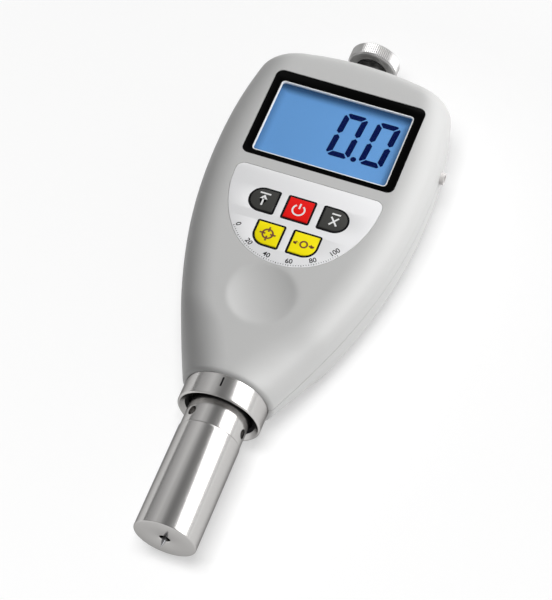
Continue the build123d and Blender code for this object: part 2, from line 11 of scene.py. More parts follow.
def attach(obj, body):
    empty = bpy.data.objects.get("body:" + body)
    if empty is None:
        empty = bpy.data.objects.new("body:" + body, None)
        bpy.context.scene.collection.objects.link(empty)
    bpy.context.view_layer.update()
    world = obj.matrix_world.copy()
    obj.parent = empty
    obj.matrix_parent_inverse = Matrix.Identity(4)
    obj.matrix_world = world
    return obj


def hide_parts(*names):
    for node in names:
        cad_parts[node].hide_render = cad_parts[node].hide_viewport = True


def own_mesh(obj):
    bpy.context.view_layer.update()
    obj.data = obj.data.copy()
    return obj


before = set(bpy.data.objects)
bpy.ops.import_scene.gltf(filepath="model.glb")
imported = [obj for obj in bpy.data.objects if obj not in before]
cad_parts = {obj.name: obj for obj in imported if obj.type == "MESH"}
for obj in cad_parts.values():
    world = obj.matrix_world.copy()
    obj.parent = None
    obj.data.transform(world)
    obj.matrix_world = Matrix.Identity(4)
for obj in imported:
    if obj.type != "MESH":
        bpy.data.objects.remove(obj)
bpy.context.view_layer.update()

# ------------------------------------------------------------
# Front cover. The upper one of two satin, pale grey mouldings that part on the indenter's axis,
# 2.4 mm thick: rounded sections along the instrument, closed by an arched top end, and cut for
# the window, the keypad label, the keys and the data socket.
MM = 0.001
nose_y, housing_top = 45.6, 159.9
front_height, back_full, back_depth = 11.77, 16.8, 16.2
wall, nose_wall, groove = 2.4, 3.0, 0.3
corner_across, corner_front = 9.5, 6.8
corner_back_across, corner_back = 8.5, 12.0
corner_margin, depth_margin, nose_reach = 0.6, 0.3, 22.0
nose_round, top_round, top_arch, bow_start = 1.8, 4.6, 95.0, 120.0
neck_hole, stud_hole, no_hole = 7.05, 3.05, 1e-6
dish_radius, dish_depth, dish_place, dish_softness, dish_reach = 9.8, 1.3, 73.5, 0.07, 1.5

# along the instrument, half width, height of the front, depth of the back
stations = np.array([
    (nose_y, 13.1, 12.5, 13.0), (52.0, 15.9, 12.2, 14.8), (59.0, 18.8, 11.95, 16.1),
    (68.0, 22.3, front_height, 16.7),
    *[(y, half, front_height, back_full) for y, half in (
        (80.0, 26.2), (92.0, 29.2), (106.0, 31.4), (121.0, 32.3), (137.0, 31.8), (151.0, 29.7),
        (165.0, 26.4))],
])
# towards the nose the corners grow, until the section is almost round
nearness = np.clip((stations[3, 0] - stations[:, 0]) / (stations[3, 0] - nose_y), 0, 1)
rise = np.clip(1 - (stations[:, 0] - nose_y) / nose_reach, 0, 1)
stations = np.column_stack([
    stations,
    corner_across + (stations[:, 1] - corner_margin - corner_across) * nearness,
    corner_back_across + (stations[:, 1] - corner_margin - corner_back_across) * nearness,
    corner_front + (stations[:, 2] - corner_front - depth_margin) * rise,
    corner_back + (stations[:, 3] - corner_back - depth_margin) * rise,
])


def slopes(x, y):
    """Slopes of a smooth curve through points, without overshoot between them."""
    h, d = np.diff(x), np.diff(y) / np.diff(x)
    m = np.zeros(len(x))
    m[0], m[-1] = d[0], d[-1]
    for i in range(1, len(x) - 1):
        if d[i - 1] * d[i] > 0:
            a, b = 2 * h[i] + h[i - 1], h[i] + 2 * h[i - 1]
            m[i] = (a + b) / (a / d[i - 1] + b / d[i])
    return m


def spline_slopes(x, y):
    """Slopes of the smoothest curve through points."""
    n = len(x)
    h = np.diff(x)
    a, r = np.zeros((n, n)), np.zeros(n)
    a[0, :2], a[-1, -2:] = (2, 1), (1, 2)
    r[0], r[-1] = 3 * (y[1] - y[0]) / h[0], 3 * (y[-1] - y[-2]) / h[-1]
    for i in range(1, n - 1):
        a[i, i - 1], a[i, i], a[i, i + 1] = h[i], 2 * (h[i - 1] + h[i]), h[i - 1]
        r[i] = 3 * (h[i] * (y[i] - y[i - 1]) / h[i - 1] + h[i - 1] * (y[i + 1] - y[i]) / h[i])
    return np.linalg.solve(a, r)


def along(at, column):
    """A station value at any place along the instrument."""
    x, y = stations[:, 0], stations[:, column]
    m = spline_slopes(x, y) if column == 1 else slopes(x, y)
    i = np.clip(np.searchsorted(x, at) - 1, 0, len(x) - 2)
    h = x[i + 1] - x[i]
    t = (at - x[i]) / h
    return ((2 * t**3 - 3 * t**2 + 1) * y[i] + (t**3 - 2 * t**2 + t) * h * m[i]
            + (3 * t**2 - 2 * t**3) * y[i + 1] + (t**3 - t**2) * h * m[i + 1])


side_steps, corner_steps, flat_steps, nose_steps, top_steps = 4, 14, 24, 9, 10
ring_spacing = ((0, 0.12, 8), (0.12, 0.38, 46), (0.38, 1, 30))  # closest round the finger dish


def outline(y, front, inset, start):
    """Half section at each y: from the parting line on +X over the front (or back) to -X."""
    y = np.asarray(y, float)
    half = along(y, 1) - inset
    depth = (along(y, 2) if front else along(y, 3)) - inset
    across = along(y, 4 if front else 5) - inset
    tall = along(y, 6 if front else 7) - inset
    limit = depth if front else np.minimum(depth, back_depth - inset)
    turn = np.arcsin(np.clip((limit - depth + tall) / tall, 0, 1))
    n = side_steps + corner_steps + flat_steps
    k = np.arange(2 * n + 1)
    one_side = np.minimum(k, 2 * n - k)
    side = np.clip(one_side / side_steps, 0, 1)
    bend = np.clip((one_side - side_steps) / corner_steps, 0, 1) * turn
    flat = np.clip((one_side - side_steps - corner_steps) / flat_steps, 0, 1)
    x = (half - across + across * np.cos(bend)) * (1 - flat)
    z = np.where(one_side <= side_steps, start + side * (depth - tall - start),
                 depth - tall + tall * np.sin(bend))
    return x * np.where(k <= n, 1, -1), z * (1 if front else -1)


def top_end(x, inset):
    """Where the arched top end is, across the instrument."""
    radius = top_arch - inset
    return housing_top - top_arch + np.sqrt(radius**2 - x**2)


def half_form(front, inset, start, holes=True):
    """Grid of points of half the housing's form, from the nose to the top end."""
    y0 = nose_y + inset * nose_wall / wall
    nose_fillet = max(nose_round - inset, 0)
    fillet = top_round - inset
    straight_end = top_end(0, inset) - fillet

    def hole(radius, edge):
        """Ring of a round hole, point for point with the ring round it."""
        angle = np.arctan2(np.abs(edge[:, 2]), edge[:, 0])
        low = math.asin(min(start / radius, 1)) if radius > start else 0
        angle = np.clip(angle, low, math.pi - low)
        angle[0], angle[-1] = low, math.pi - low
        side = 1 if front else -1
        return np.stack([radius * np.cos(angle), edge[:, 1], side * radius * np.sin(angle)], 1)

    count = len(outline(y0, front, inset, start)[0])
    flat_y = np.full(count, y0)
    step = 0.5
    near = np.array(outline(flat_y, front, inset, start))
    outward = near - outline(flat_y, front, inset + 1, start)
    flare = np.arctan(
        ((outline(flat_y + step, front, inset, start) - near) * outward).sum(0) / step)
    centre = -nose_fillet * (1 - np.sin(flare)) / np.cos(flare)
    arcs = []
    for s in np.linspace(0, 1, nose_steps):
        a = -math.pi / 2 + (math.pi / 2 - flare) * s
        x, z = outline(flat_y, front, inset - centre - nose_fillet * np.cos(a), start)
        arcs.append(np.stack([x, y0 + nose_fillet * (1 + np.sin(a)), z], 1))
    first = arcs[-1][:, 1] - y0
    rim = arcs[0]
    inner = hole(neck_hole if holes else no_hole, rim)
    rings = [inner, (inner + rim) / 2, *arcs[:-1]]

    for t in np.unique(np.concatenate([np.linspace(*part) for part in ring_spacing])):
        straight = y0 + first + t * (straight_end - y0 - first)
        w = np.clip((straight - bow_start) / (straight_end - bow_start), 0, 1)
        w = w * w * (3 - 2 * w)
        y = straight
        for _ in range(4):
            x, z = outline(y, front, inset, start)
            y = straight - w * (top_end(0, inset) - top_end(x, inset))
        rings.append(np.stack([x, y, z], 1))
    for turn in np.linspace(0, math.pi / 2, top_steps)[1:]:
        inward = fillet * (1 - math.cos(turn))
        y = np.full(count, straight_end)
        for _ in range(5):
            x, z = outline(y, front, inset + inward, start)
            y = top_end(x, inset) - fillet * (1 - math.sin(turn))
        rings.append(np.stack([x, y, z], 1))

    cap = rings[-1]
    inner = hole(stud_hole if holes else no_hole, cap)
    for s in (0.3, 0.65, 1):
        p = cap + (inner - cap) * s
        p[:, 1] = top_end(p[:, 0], inset)
        rings.append(p)
    grid = np.array(rings)
    if front and inset == 0:
        r = np.hypot(grid[..., 0], grid[..., 1] - dish_place)
        ball = (dish_radius**2 + dish_depth**2) / (2 * dish_depth)
        sag = dish_depth - ball + np.sqrt(np.maximum(ball**2 - r**2, 0))
        sag = dish_softness * np.logaddexp(0, np.clip(sag / dish_softness, -40, 40))
        grid[..., 2] -= np.where(grid[..., 2] > front_height - dish_reach, sag, 0)
    return grid


def grid_faces(rows, columns, first):
    """Quads over a grid of points whose first one has this index."""
    a = first + (np.arange(rows - 1)[:, None] * columns + np.arange(columns - 1)[None]).ravel()
    return np.stack([a, a + 1, a + columns + 1, a + columns], 1).tolist()


def put(name, data):
    """Object with this data, in the scene."""
    obj = bpy.data.objects.new(name, data)
    bpy.context.scene.collection.objects.link(obj)
    return obj


def close_up(mesh, weld=2e-7):
    """Merges a mesh's doubles, if asked, and turns its faces outwards."""
    work = bmesh.new()
    work.from_mesh(mesh)
    if weld:
        bmesh.ops.remove_doubles(work, verts=work.verts, dist=weld)
    bmesh.ops.recalc_face_normals(work, faces=work.faces)
    work.to_mesh(mesh)
    work.free()


def smooth(mesh, sharp):
    """Smooth shading that keeps edges over this many degrees hard."""
    mesh.shade_smooth()
    mesh.set_sharp_from_angle(angle=math.radians(sharp))


def new_piece(name, points, faces):
    """A named, closed mesh with its hard edges kept."""
    mesh = bpy.data.meshes.new(name)
    mesh.from_pydata((np.asarray(points) * MM).tolist(), [], faces)
    close_up(mesh)
    smooth(mesh, 35)
    return put(name, mesh)


def shell_half(name, front):
    """One hollow cover: outer form, parting groove, inner form, and the rims that join them."""
    layers = [half_form(front, inset, start) for inset, start in (
        (0, groove / 2), (groove, groove / 2), (groove, 0), (wall, 0))]
    rows, columns = layers[0].shape[:2]
    points = [layers[0].reshape(-1, 3), layers[3].reshape(-1, 3)]
    size = rows * columns
    faces = grid_faces(rows, columns, 0) + grid_faces(rows, columns, size)
    for edge in (0, columns - 1):
        first = sum(len(p) for p in points)
        points += [layers[1][:, edge], layers[2][:, edge]]
        strips = [[start + step * i for i in range(rows)] for start, step in (
            (edge, columns), (first, 1), (first + rows, 1), (size + edge, columns))]
        for a, b in zip(strips, strips[1:]):
            faces += [[a[i], a[i + 1], b[i + 1], b[i]] for i in range(rows - 1)]
        faces += [[s[0] for s in strips], [s[-1] for s in strips]]
    for row in (0, rows - 1):
        a = [row * columns + i for i in range(columns)]
        b = [size + i for i in a]
        faces += [[a[i], a[i + 1], b[i + 1], b[i]] for i in range(columns - 1)]
    return new_piece(name, np.concatenate(points), faces)


def shape_of(obj):
    """Plain mesh of what an object shows."""
    graph = bpy.context.evaluated_depsgraph_get()
    return bpy.data.meshes.new_from_object(obj.evaluated_get(graph), depsgraph=graph)


def cast(obj, sharp=35):
    """Turns what an object's modifiers make of it into its plain mesh."""
    mesh = shape_of(obj)
    obj.modifiers.clear()
    obj.data = mesh
    mesh.name = obj.name
    mesh.validate()
    if sharp:
        smooth(mesh, sharp)
    return obj


def carve(obj, tools, operation="DIFFERENCE"):
    """Cuts pieces out of a moulding, joins them to it, or keeps what they share."""
    group = bpy.data.collections.new("tools")
    for tool in tools:
        bpy.context.scene.collection.objects.unlink(tool)
        group.objects.link(tool)
    bpy.context.scene.collection.children.link(group)
    change = obj.modifiers.new("carve", "BOOLEAN")
    change.operation = operation
    change.operand_type = "COLLECTION"
    change.collection = group
    change.solver = "EXACT"
    cast(obj)
    for tool in tools:
        bpy.data.objects.remove(tool)
    bpy.data.collections.remove(group)
    return obj


def prism(loop, low, high, name="tool"):
    """Straight block over an outline, between two heights above the parting plane."""
    n = len(loop)
    points = [(x, y, z) for z in (low, high) for x, y in loop]
    faces = [list(range(n)), list(range(n, 2 * n))]
    faces += [[i, (i + 1) % n, n + (i + 1) % n, n + i] for i in range(n)]
    return new_piece(name, points, faces)


def box(x, y, z, name="tool"):
    """Block between two limits in each direction."""
    return prism([(x[0], y[0]), (x[1], y[0]), (x[1], y[1]), (x[0], y[1])], *z, name)


def disc(x, y, radius, steps=48):
    """Round outline."""
    turn = np.linspace(0, 2 * math.pi, steps, endpoint=False)
    return [(x + radius * math.cos(a), y + radius * math.sin(a)) for a in turn]


def arc(x, y, radius, first, last, count=24):
    """Points of an arc between two bearings in degrees."""
    return [(x + radius * math.cos(math.radians(a)), y + radius * math.sin(math.radians(a)))
            for a in np.linspace(first, last, count)]


def cornered(x, y, width, height, radii, steps=10):
    """Rectangle about a centre; corner radii from the lower left, turning anticlockwise."""
    loop = []
    signs = ((-1, -1), (1, -1), (1, 1), (-1, 1))
    for (sx, sy), radius, start in zip(signs, radii, (180, 270, 0, 90)):
        cx, cy = x + sx * (width / 2 - radius), y + sy * (height / 2 - radius)
        loop += arc(cx, cy, radius, start, start + 90, steps + 1)
    return loop


def shader_of(material):
    """Main shader of a finish."""
    return material.node_tree.nodes["Principled BSDF"]


def paint(name, colour, roughness, metallic=0.0, coat=0.0, specular=0.5):
    """Plain finish: colour, roughness, metal or not, clear coat, and strength of its sheen."""
    material = bpy.data.materials.new(name)
    material.use_nodes = True
    inputs = shader_of(material).inputs
    inputs["Base Color"].default_value = (*colour, 1)
    inputs["Roughness"].default_value = roughness
    inputs["Metallic"].default_value = metallic
    inputs["Coat Weight"].default_value = coat
    inputs["Specular IOR Level"].default_value = specular
    return material


def add_node(tree, kind, values=None, **settings):
    """One node of a tree with its settings, values and links."""
    node = tree.nodes.new(kind)
    for key, value in settings.items():
        setattr(node, key, value)
    for key, value in (values or {}).items():
        if isinstance(value, bpy.types.NodeSocket):
            tree.links.new(value, node.inputs[key])
        else:
            node.inputs[key].default_value = value
    return node


def out_of(tree, kind, values=None, **settings):
    """First output of a new node."""
    return add_node(tree, kind, values, **settings).outputs[0]


def grain(material, scale, depth, stretch=(1, 1, 1)):
    """Fine relief on a finish, even or drawn out along an axis."""
    tree = material.node_tree
    place = add_node(tree, "ShaderNodeTexCoord").outputs["Object"]
    place = out_of(tree, "ShaderNodeMapping", {"Vector": place, "Scale": stretch})
    noise = out_of(tree, "ShaderNodeTexNoise", {"Vector": place, "Scale": scale, "Detail": 3})
    bump = out_of(tree, "ShaderNodeBump", {"Height": noise, "Distance": depth * MM,
                                           "Strength": 1.0})
    tree.links.new(bump, shader_of(material).inputs["Normal"])
    return material


def fit(obj, material, slot, *nodes, body="housing"):
    """Gives a piece its finish and its body, and hides the solids it stands for."""
    obj.data.materials.clear()
    obj.data.materials.append(material)
    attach(obj, body)
    if nodes:
        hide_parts(*nodes)


housing_plastic = grain(paint("housing_plastic", (0.53, 0.53, 0.525), 0.42),
                        scale=2600, depth=0.012)

window_place, window_width, window_height, window_corner = 132.55, 46.3, 31.5, 2.2
display_width, display_height, display_corner, display_gap = 43.0, 30.4, 0.6, 0.2
pocket_floor, pocket_lap, display_hole_low, past_front = 9.9, 0.1, 4.0, 14.0
label_top, label_bottom, label_half, label_corner = 113.4, 83.6, 22.2, 2.5
label_foot_radius, label_foot_half, label_steps = 19.8, 16.0, 40
label_floor, label_face = 11.27, 11.72
key_width, key_height, key_gap, key_hole_low, key_hole_high = 7.95, 7.65, 0.3, 8.0, 13.0
key_round, key_corner, least_corner = 3.8, 0.35, 0.05
keys = {
    "peak": (-10.7, 102.9, (1, 0, 0, 1)),
    "power": (0.0, 102.9, (0, 0, 0, 0)),
    "average": (10.7, 102.9, (0, 1, 1, 0)),
    "calibrate": (-5.4, 92.35, (1, 0, 0, 0)),
    "zero": (5.4, 92.35, (0, 1, 0, 0)),
}
jack_y, jack_z, jack_nose, jack_gap, jack_cut = 134.9, -0.4, 3.6, 0.1, (28, 36)


def key_outline(name, grow):
    """Outline of a key, with one or both of its outer corners round."""
    x, y, rounded = keys[name]
    radii = [key_round + grow if r else max(key_corner + grow, least_corner) for r in rounded]
    return cornered(x, y, key_width + 2 * grow, key_height + 2 * grow, radii, 12)


def label_outline(grow):
    """Keypad label: straight top, round foot, and bowed sides that run on from the foot."""
    half, top, corner = label_half + grow, label_top + grow, label_corner + grow
    reach = math.asin(label_foot_half / label_foot_radius)
    foot = arc(0, label_bottom + label_foot_radius, label_foot_radius + grow,
               -90 - math.degrees(reach), -90 + math.degrees(reach), label_steps)
    start, end = np.array(foot[-1]), np.array((half, top - corner))
    inward = np.array((-math.sin(reach), math.cos(reach)))
    bow = (end - start) @ (end - start) / (2 * (end - start) @ inward)
    middle = start + inward * bow
    first, last = (math.degrees(math.atan2(*(p - middle)[::-1])) for p in (start, end))
    side = arc(*middle, bow, first, last, label_steps)[1:]
    side += arc(half - corner, top - corner, corner, 0, 90, 9)[1:]
    return foot + side + [(-x, y) for x, y in side[::-1]]


def socket_hole():
    """Tool for the data socket's round hole through the right side wall."""
    tool = prism(disc(0, 0, jack_nose / 2 + jack_gap), *jack_cut)
    tool.data.transform(Matrix(((0, 0, 1, 0), (1, 0, 0, jack_y * MM), (0, 1, 0, jack_z * MM),
                                (0, 0, 0, 1))))
    return tool


front_cover = shell_half("front_cover_form", True)
carve(front_cover, [
    prism(cornered(0, window_place, window_width, window_height, [window_corner] * 4),
          pocket_floor, past_front),
    prism(cornered(0, window_place, display_width + 2 * display_gap,
                   display_height + 2 * display_gap, [display_corner] * 4, 4),
          display_hole_low, pocket_floor + pocket_lap),
    prism(label_outline(0), label_floor, past_front),
    *[prism(key_outline(name, 0), key_hole_low, key_hole_high) for name in keys],
    socket_hole(),
])
fit(front_cover, housing_plastic, "housing_plastic", "front_cover")

# ------------------------------------------------------------
# Back cover. The lower moulding, with a flat rest. It carries the open battery bay, the door's
# seat and side grooves, and the posts of the four screws that hold it to the front cover.
bay_half, bay_start, bay_end, bay_roof, bay_wall = 21.5, 95.0, 143.7, -3.0, 1.2
door_seat, door_half, door_start, door_gap = -14.0, 22.2, 92.7, 0.2
tongue_low, tongue_start, tongue_width, tongue_gap = -14.9, 95.2, 0.7, 0.1
seat_edge, seat_top, seat_lap, skin = 2, -12.4, 0.05, 0.4
past_end, past_back = 162.0, -18
cover_screws = [(-14.4, 66.0), (14.4, 66.0), (-26.6, 121.0), (26.6, 121.0)]
post_radius, counterbore, sunk, screw_hole, screw_cut = 3.0, 2.5, 8.0, 1.35, (-9, 1)


def filled_back(name, inset):
    """The back's form as one solid, this far inside its surface."""
    form = half_form(False, inset, 0, holes=False)
    rows, columns = form.shape[:2]
    faces = grid_faces(rows, columns, 0)
    faces += [[i * columns, (i + 1) * columns, (i + 2) * columns - 1, (i + 1) * columns - 1]
              for i in range(rows - 1)]
    return new_piece(name, form.reshape(-1, 3), faces)


def wide(half):
    """Limits of a box that reaches as far to both sides."""
    return -half, half


back_cover = shell_half("back_cover_form", False)
seat = box(wide(door_half + seat_edge), (door_start - seat_edge, past_end),
           (door_seat - seat_lap, seat_top))
carve(seat, [prism(disc(x, y, post_radius), door_seat, 0) for x, y in cover_screws], "UNION")
inner_form = carve(filled_back("inner_form", skin), [seat], "INTERSECT")
carve(back_cover, [
    inner_form,
    box(wide(bay_half + bay_wall), (bay_start - bay_wall, bay_end + bay_wall),
        (door_seat, bay_roof + bay_wall)),
], "UNION")
carve(back_cover, [
    box(wide(bay_half), (bay_start, bay_end), (past_back, bay_roof)),
    box(wide(door_half + door_gap), (door_start - door_gap, past_end), (past_back, door_seat)),
    box(wide(door_half + tongue_width + door_gap), (tongue_start - door_gap, past_end),
        (tongue_low - tongue_gap, door_seat)),
    *[prism(disc(x, y, counterbore), past_back, sunk - back_depth) for x, y in cover_screws],
    *[prism(disc(x, y, screw_hole), *screw_cut) for x, y in cover_screws],
    socket_hole(),
])
fit(back_cover, housing_plastic, "housing_plastic", "back_cover")

# ------------------------------------------------------------
# Battery door. The same moulding as the back cover, cut to slide off over the top end on two
# side tongues, with five grip grooves for the thumb.
door_top, door_cut_low = door_seat - 0.1, -20
grip_start, grip_pitch, grip_count, grip_half, grip_width, grip_depth = 6, 1.8, 5, 8, 0.8, 0.4
grip_places = [door_start + grip_start + grip_pitch * i for i in range(grip_count)]

battery_door = filled_back("battery_door_form", 0)
carve(battery_door, [box(wide(door_half), (door_start, past_end), (door_cut_low, door_top))],
      "INTERSECT")
carve(battery_door, [box(wide(door_half + tongue_width), (tongue_start, bay_end),
                         (tongue_low, door_top))], "UNION")
carve(battery_door, [box(wide(grip_half), (y, y + grip_width),
                         (door_cut_low, grip_depth - back_depth)) for y in grip_places])
fit(battery_door, housing_plastic, "housing_plastic", "battery_door", body="battery_door")

# ------------------------------------------------------------
# Display. A gloss black moulded frame with a bright line round its opening, a clear plastic
# pane, and under it the blue liquid crystal glass, lit from behind, with two slanted figures and
# a point.
frame_low, frame_top, frame_gap = 10.7, 11.62, 0.1
opening_width, opening_height, opening_corner, opening_place = 41.0, 26.2, 1.2, 131.75
bright_line, line_sunk = 0.4, 0.15
pane_low, crystal_low = 10.15, 7.7
figure_low, figure_top = 9.92, 9.96


def mesh_from(data):
    """Plain mesh of a curve or a text."""
    flat = put("flat", data)
    mesh = shape_of(flat)
    bpy.data.objects.remove(flat)
    return mesh


def plate(name, loops, low, high, bevel=0.0):
    """Flat plate over outlines, the inner ones cut out, with its edges broken."""
    curve = bpy.data.curves.new(name, "CURVE")
    curve.dimensions = "2D"
    curve.fill_mode = "BOTH"
    curve.extrude = ((high - low) / 2 - bevel) * MM
    curve.bevel_depth = bevel * MM
    curve.bevel_resolution = 2
    curve.offset = -bevel * MM
    for loop in loops:
        spline = curve.splines.new("POLY")
        spline.points.add(len(loop) - 1)
        for point, (x, y) in zip(spline.points, loop):
            point.co = (x * MM, y * MM, 0, 1)
        spline.use_cyclic_u = True
    mesh = mesh_from(curve)
    mesh.transform(Matrix.Translation((0, 0, (low + high) / 2 * MM)))
    close_up(mesh, 1e-6)
    smooth(mesh, 40)
    return put(name, mesh)


def calc(tree, operation, *values):
    """Result of one arithmetic node."""
    return out_of(tree, "ShaderNodeMath", dict(enumerate(values)), operation=operation)


def span(tree, value, source, target, kind="LINEAR"):
    """Carries a value from one range to another, and keeps it within that."""
    limits = zip(("From Min", "From Max", "To Min", "To Max"), (*source, *target))
    return out_of(tree, "ShaderNodeMapRange", {"Value": value, **dict(limits)},
                  interpolation_type=kind)


black_gloss = paint("black_gloss", (0.001, 0.001, 0.001), 0.14, specular=0.05)
bright_line_paint = paint("bright_line_paint", (0.86, 0.87, 0.88), 0.3)
rim = cornered(0, window_place, window_width - 2 * frame_gap, window_height - 2 * frame_gap,
               [window_corner] * 4)
opening = cornered(0, opening_place, opening_width, opening_height, [opening_corner] * 4)
inside = cornered(0, opening_place, opening_width - 2 * bright_line,
                  opening_height - 2 * bright_line, [opening_corner - bright_line] * 4)
fit(plate("window_frame", [rim, opening], frame_low, frame_top, bevel=0.12), black_gloss,
    "black_plastic", "window_bezel")
fit(plate("window_line", [opening, inside], frame_low, frame_top - line_sunk, bevel=0.08),
    bright_line_paint, "bright_trim", "window_trim")

clear_pane = paint("clear_pane", (0.02, 0.02, 0.02), 0.03)
shader_of(clear_pane).inputs["Alpha"].default_value = 0.06
clear_pane.surface_render_method = "BLENDED"
fit(plate("clear_window", [rim], pane_low, frame_low), clear_pane, "clear_pane", "window_pane")

# painted shade: the lit blue is darker along the glass's two sides and most of all along its top,
# where the frame's recess shades it
blue, recess_shade_blue = (0.105, 0.265, 0.54), (0.01, 0.04, 0.11)
lit_blue = paint("lit_blue", blue, 0.4, specular=0.1)
blue_tree = lit_blue.node_tree
spot = add_node(blue_tree, "ShaderNodeTexCoord").outputs["Object"]
spot = add_node(blue_tree, "ShaderNodeSeparateXYZ", {0: spot}).outputs
recess_shade_fades = [span(blue_tree, value, (first * MM, last * MM), (0.0, dark), "SMOOTHSTEP")
         for value, first, last, dark in (
             (calc(blue_tree, "ABSOLUTE", spot["X"]), 17.6, 20.2, 0.35),
             (spot["Y"], 141.2, 144.3, 0.75))]
shade = add_node(blue_tree, "ShaderNodeMix", {"Factor": calc(blue_tree, "MAXIMUM", *recess_shade_fades)},
                 data_type="RGBA")
shade.inputs["A"].default_value, shade.inputs["B"].default_value = (*blue, 1), (*recess_shade_blue, 1)
for socket in ("Base Color", "Emission Color"):
    blue_tree.links.new(shade.outputs["Result"], shader_of(lit_blue).inputs[socket])
shader_of(lit_blue).inputs["Emission Strength"].default_value = 0.5
crystal_form = cornered(0, window_place, display_width, display_height, [0.5] * 4, 4)
fit(plate("crystal_glass", [crystal_form], crystal_low, pocket_floor, bevel=0.1), lit_blue,
    "display_glass", "display_glass")

figure_ink = paint("figure_ink", (0.001, 0.008, 0.085), 0.6, specular=0.0)
figure_left, figure_foot, figure_height, figure_width = -0.4, 125.05, 15.9, 7.2
figure_pitch, figure_stroke, figure_slant, segment_gap, corner_cut = 10.0, 1.75, 0.075, 0.2, 1.3
point_right, point_up, point_radius = 8.6, 0.75, 0.85


def segments(left):
    """The six outer bars of a nought, with mitred ends and small gaps, slanted."""
    w, h, s, g, c = figure_width, figure_height, figure_stroke, segment_gap, corner_cut
    mid = h / 2
    bars = [
        [(c, 0), (w - c, 0), (w - c / 2 - g, c / 2 - g), (w - s - g, s), (s + g, s),
         (c / 2 + g, c / 2 - g)],
        [(c, h), (c / 2 + g, h - c / 2 + g), (s + g, h - s), (w - s - g, h - s),
         (w - c / 2 - g, h - c / 2 + g), (w - c, h)],
    ]
    for near, far, inward in ((0, s, 1), (w, w - s, -1)):
        cut = near + inward * (c / 2 - g)
        middle = (near + far) / 2
        for end, turn in ((0, 1), (h, -1)):
            bars.append([
                (near, end + turn * c), (cut, end + turn * (c / 2 + g)),
                (far, end + turn * (s + g)), (far, mid - turn * (s / 2 + g)),
                (middle, mid - turn * g), (near, mid - turn * s / 2),
            ])
    return [[(left + x + figure_slant * y, figure_foot + y) for x, y in bar] for bar in bars]


bars = segments(figure_left) + segments(figure_left + figure_pitch)
bars.append(disc(figure_left + point_right, figure_foot + point_up, point_radius))
fit(plate("display_figures", bars, figure_low, figure_top), figure_ink, "display_glass")

# ------------------------------------------------------------
# Keypad label. A pale printed film, stuck in a shallow recess, with a black line round each key,
# whose black also fills the gaps round the keys as painted shade, and a plain scale of ticks and
# numbers along its round foot.
label_gap = 0.1
label_film = paint("label_film", (0.82, 0.82, 0.83), 0.5)
fit(plate("label_film", [label_outline(-label_gap)] + [key_outline(name, 0) for name in keys],
          label_floor, label_face, bevel=0.04), label_film, "label_film", "keypad_label")
print_black = paint("print_black", (0.004, 0.004, 0.005), 0.5, specular=0.12)


def open_tree(name, inputs):
    """New geometry tree with named inputs and one shape as its result."""
    tree = bpy.data.node_groups.new(name, "GeometryNodeTree")
    tree.is_modifier = True
    for title, kind in inputs.items():
        tree.interface.new_socket(title, in_out="INPUT", socket_type="NodeSocket" + kind)
    tree.interface.new_socket("Piece", in_out="OUTPUT", socket_type="NodeSocketGeometry")
    return tree, add_node(tree, "NodeGroupInput").outputs


def close_tree(tree, shape, finish):
    """Ends a tree: loose copies become one mesh with one finish."""
    shape = out_of(tree, "GeometryNodeRealizeInstances", {"Geometry": shape})
    shape = out_of(tree, "GeometryNodeSetMaterial", {"Geometry": shape, "Material": finish})
    result = add_node(tree, "NodeGroupOutput")
    tree.links.new(shape, result.inputs["Piece"])
    return tree


def vector_of(tree, x, y, z):
    """Three numbers as one vector."""
    return out_of(tree, "ShaderNodeCombineXYZ", {0: x, 1: y, 2: z})


def turned_by(tree, bearing):
    """Rotation about Z."""
    return out_of(tree, "FunctionNodeEulerToRotation", {0: vector_of(tree, 0.0, 0.0, bearing)})


def grown(name, tree, places=(), edges=(), **values):
    """Piece that a geometry tree makes from points and named inputs, as a plain mesh."""
    mesh = bpy.data.meshes.new(name)
    mesh.from_pydata([tuple(c * MM for c in p) for p in places], list(edges), [])
    obj = put(name, mesh)
    change = obj.modifiers.new(name, "NODES")
    change.node_group = tree
    for item in tree.interface.items_tree:
        key = item.name.replace(" ", "_").lower()
        if item.in_out == "INPUT" and key in values:
            change[item.identifier] = values[key]
    return cast(obj, sharp=None)


def tick_tree():
    """Ticks along an arc at the foot of a scale, every few of them longer."""
    tree, given = open_tree("scale_ticks", {
        "Count": "Int", "Reach": "Float", "Radius": "Float", "Centre": "Vector",
        "Width": "Float", "Length": "Float", "Longer": "Float", "Every": "Int",
        "Height": "Float", "Finish": "Material",
    })
    line = out_of(tree, "GeometryNodeMeshLine", {"Count": given["Count"]})
    index = out_of(tree, "GeometryNodeInputIndex")
    share = calc(tree, "DIVIDE", index, calc(tree, "SUBTRACT", given["Count"], 1.0))
    bearing = calc(tree, "MULTIPLY", calc(tree, "MULTIPLY_ADD", share, 2.0, -1.0),
                   given["Reach"])
    is_long = calc(tree, "COMPARE", calc(tree, "MODULO", index, given["Every"]), 0.0, 0.1)
    length = calc(tree, "MULTIPLY_ADD", is_long, given["Longer"], given["Length"])
    radius = calc(tree, "MULTIPLY_ADD", length, 0.5, given["Radius"])
    x = calc(tree, "MULTIPLY", calc(tree, "SINE", bearing), radius)
    y = calc(tree, "MULTIPLY", calc(tree, "COSINE", bearing),
             calc(tree, "MULTIPLY", radius, -1.0))
    spot = out_of(tree, "ShaderNodeVectorMath",
                  {0: vector_of(tree, x, y, 0.0), 1: given["Centre"]})
    line = out_of(tree, "GeometryNodeSetPosition", {"Geometry": line, "Position": spot})
    ticks = out_of(tree, "GeometryNodeInstanceOnPoints", {
        "Points": line, "Rotation": turned_by(tree, bearing),
        "Instance": out_of(tree, "GeometryNodeMeshCube"),
        "Scale": vector_of(tree, given["Width"], length, given["Height"]),
    })
    return close_tree(tree, ticks, given["Finish"])


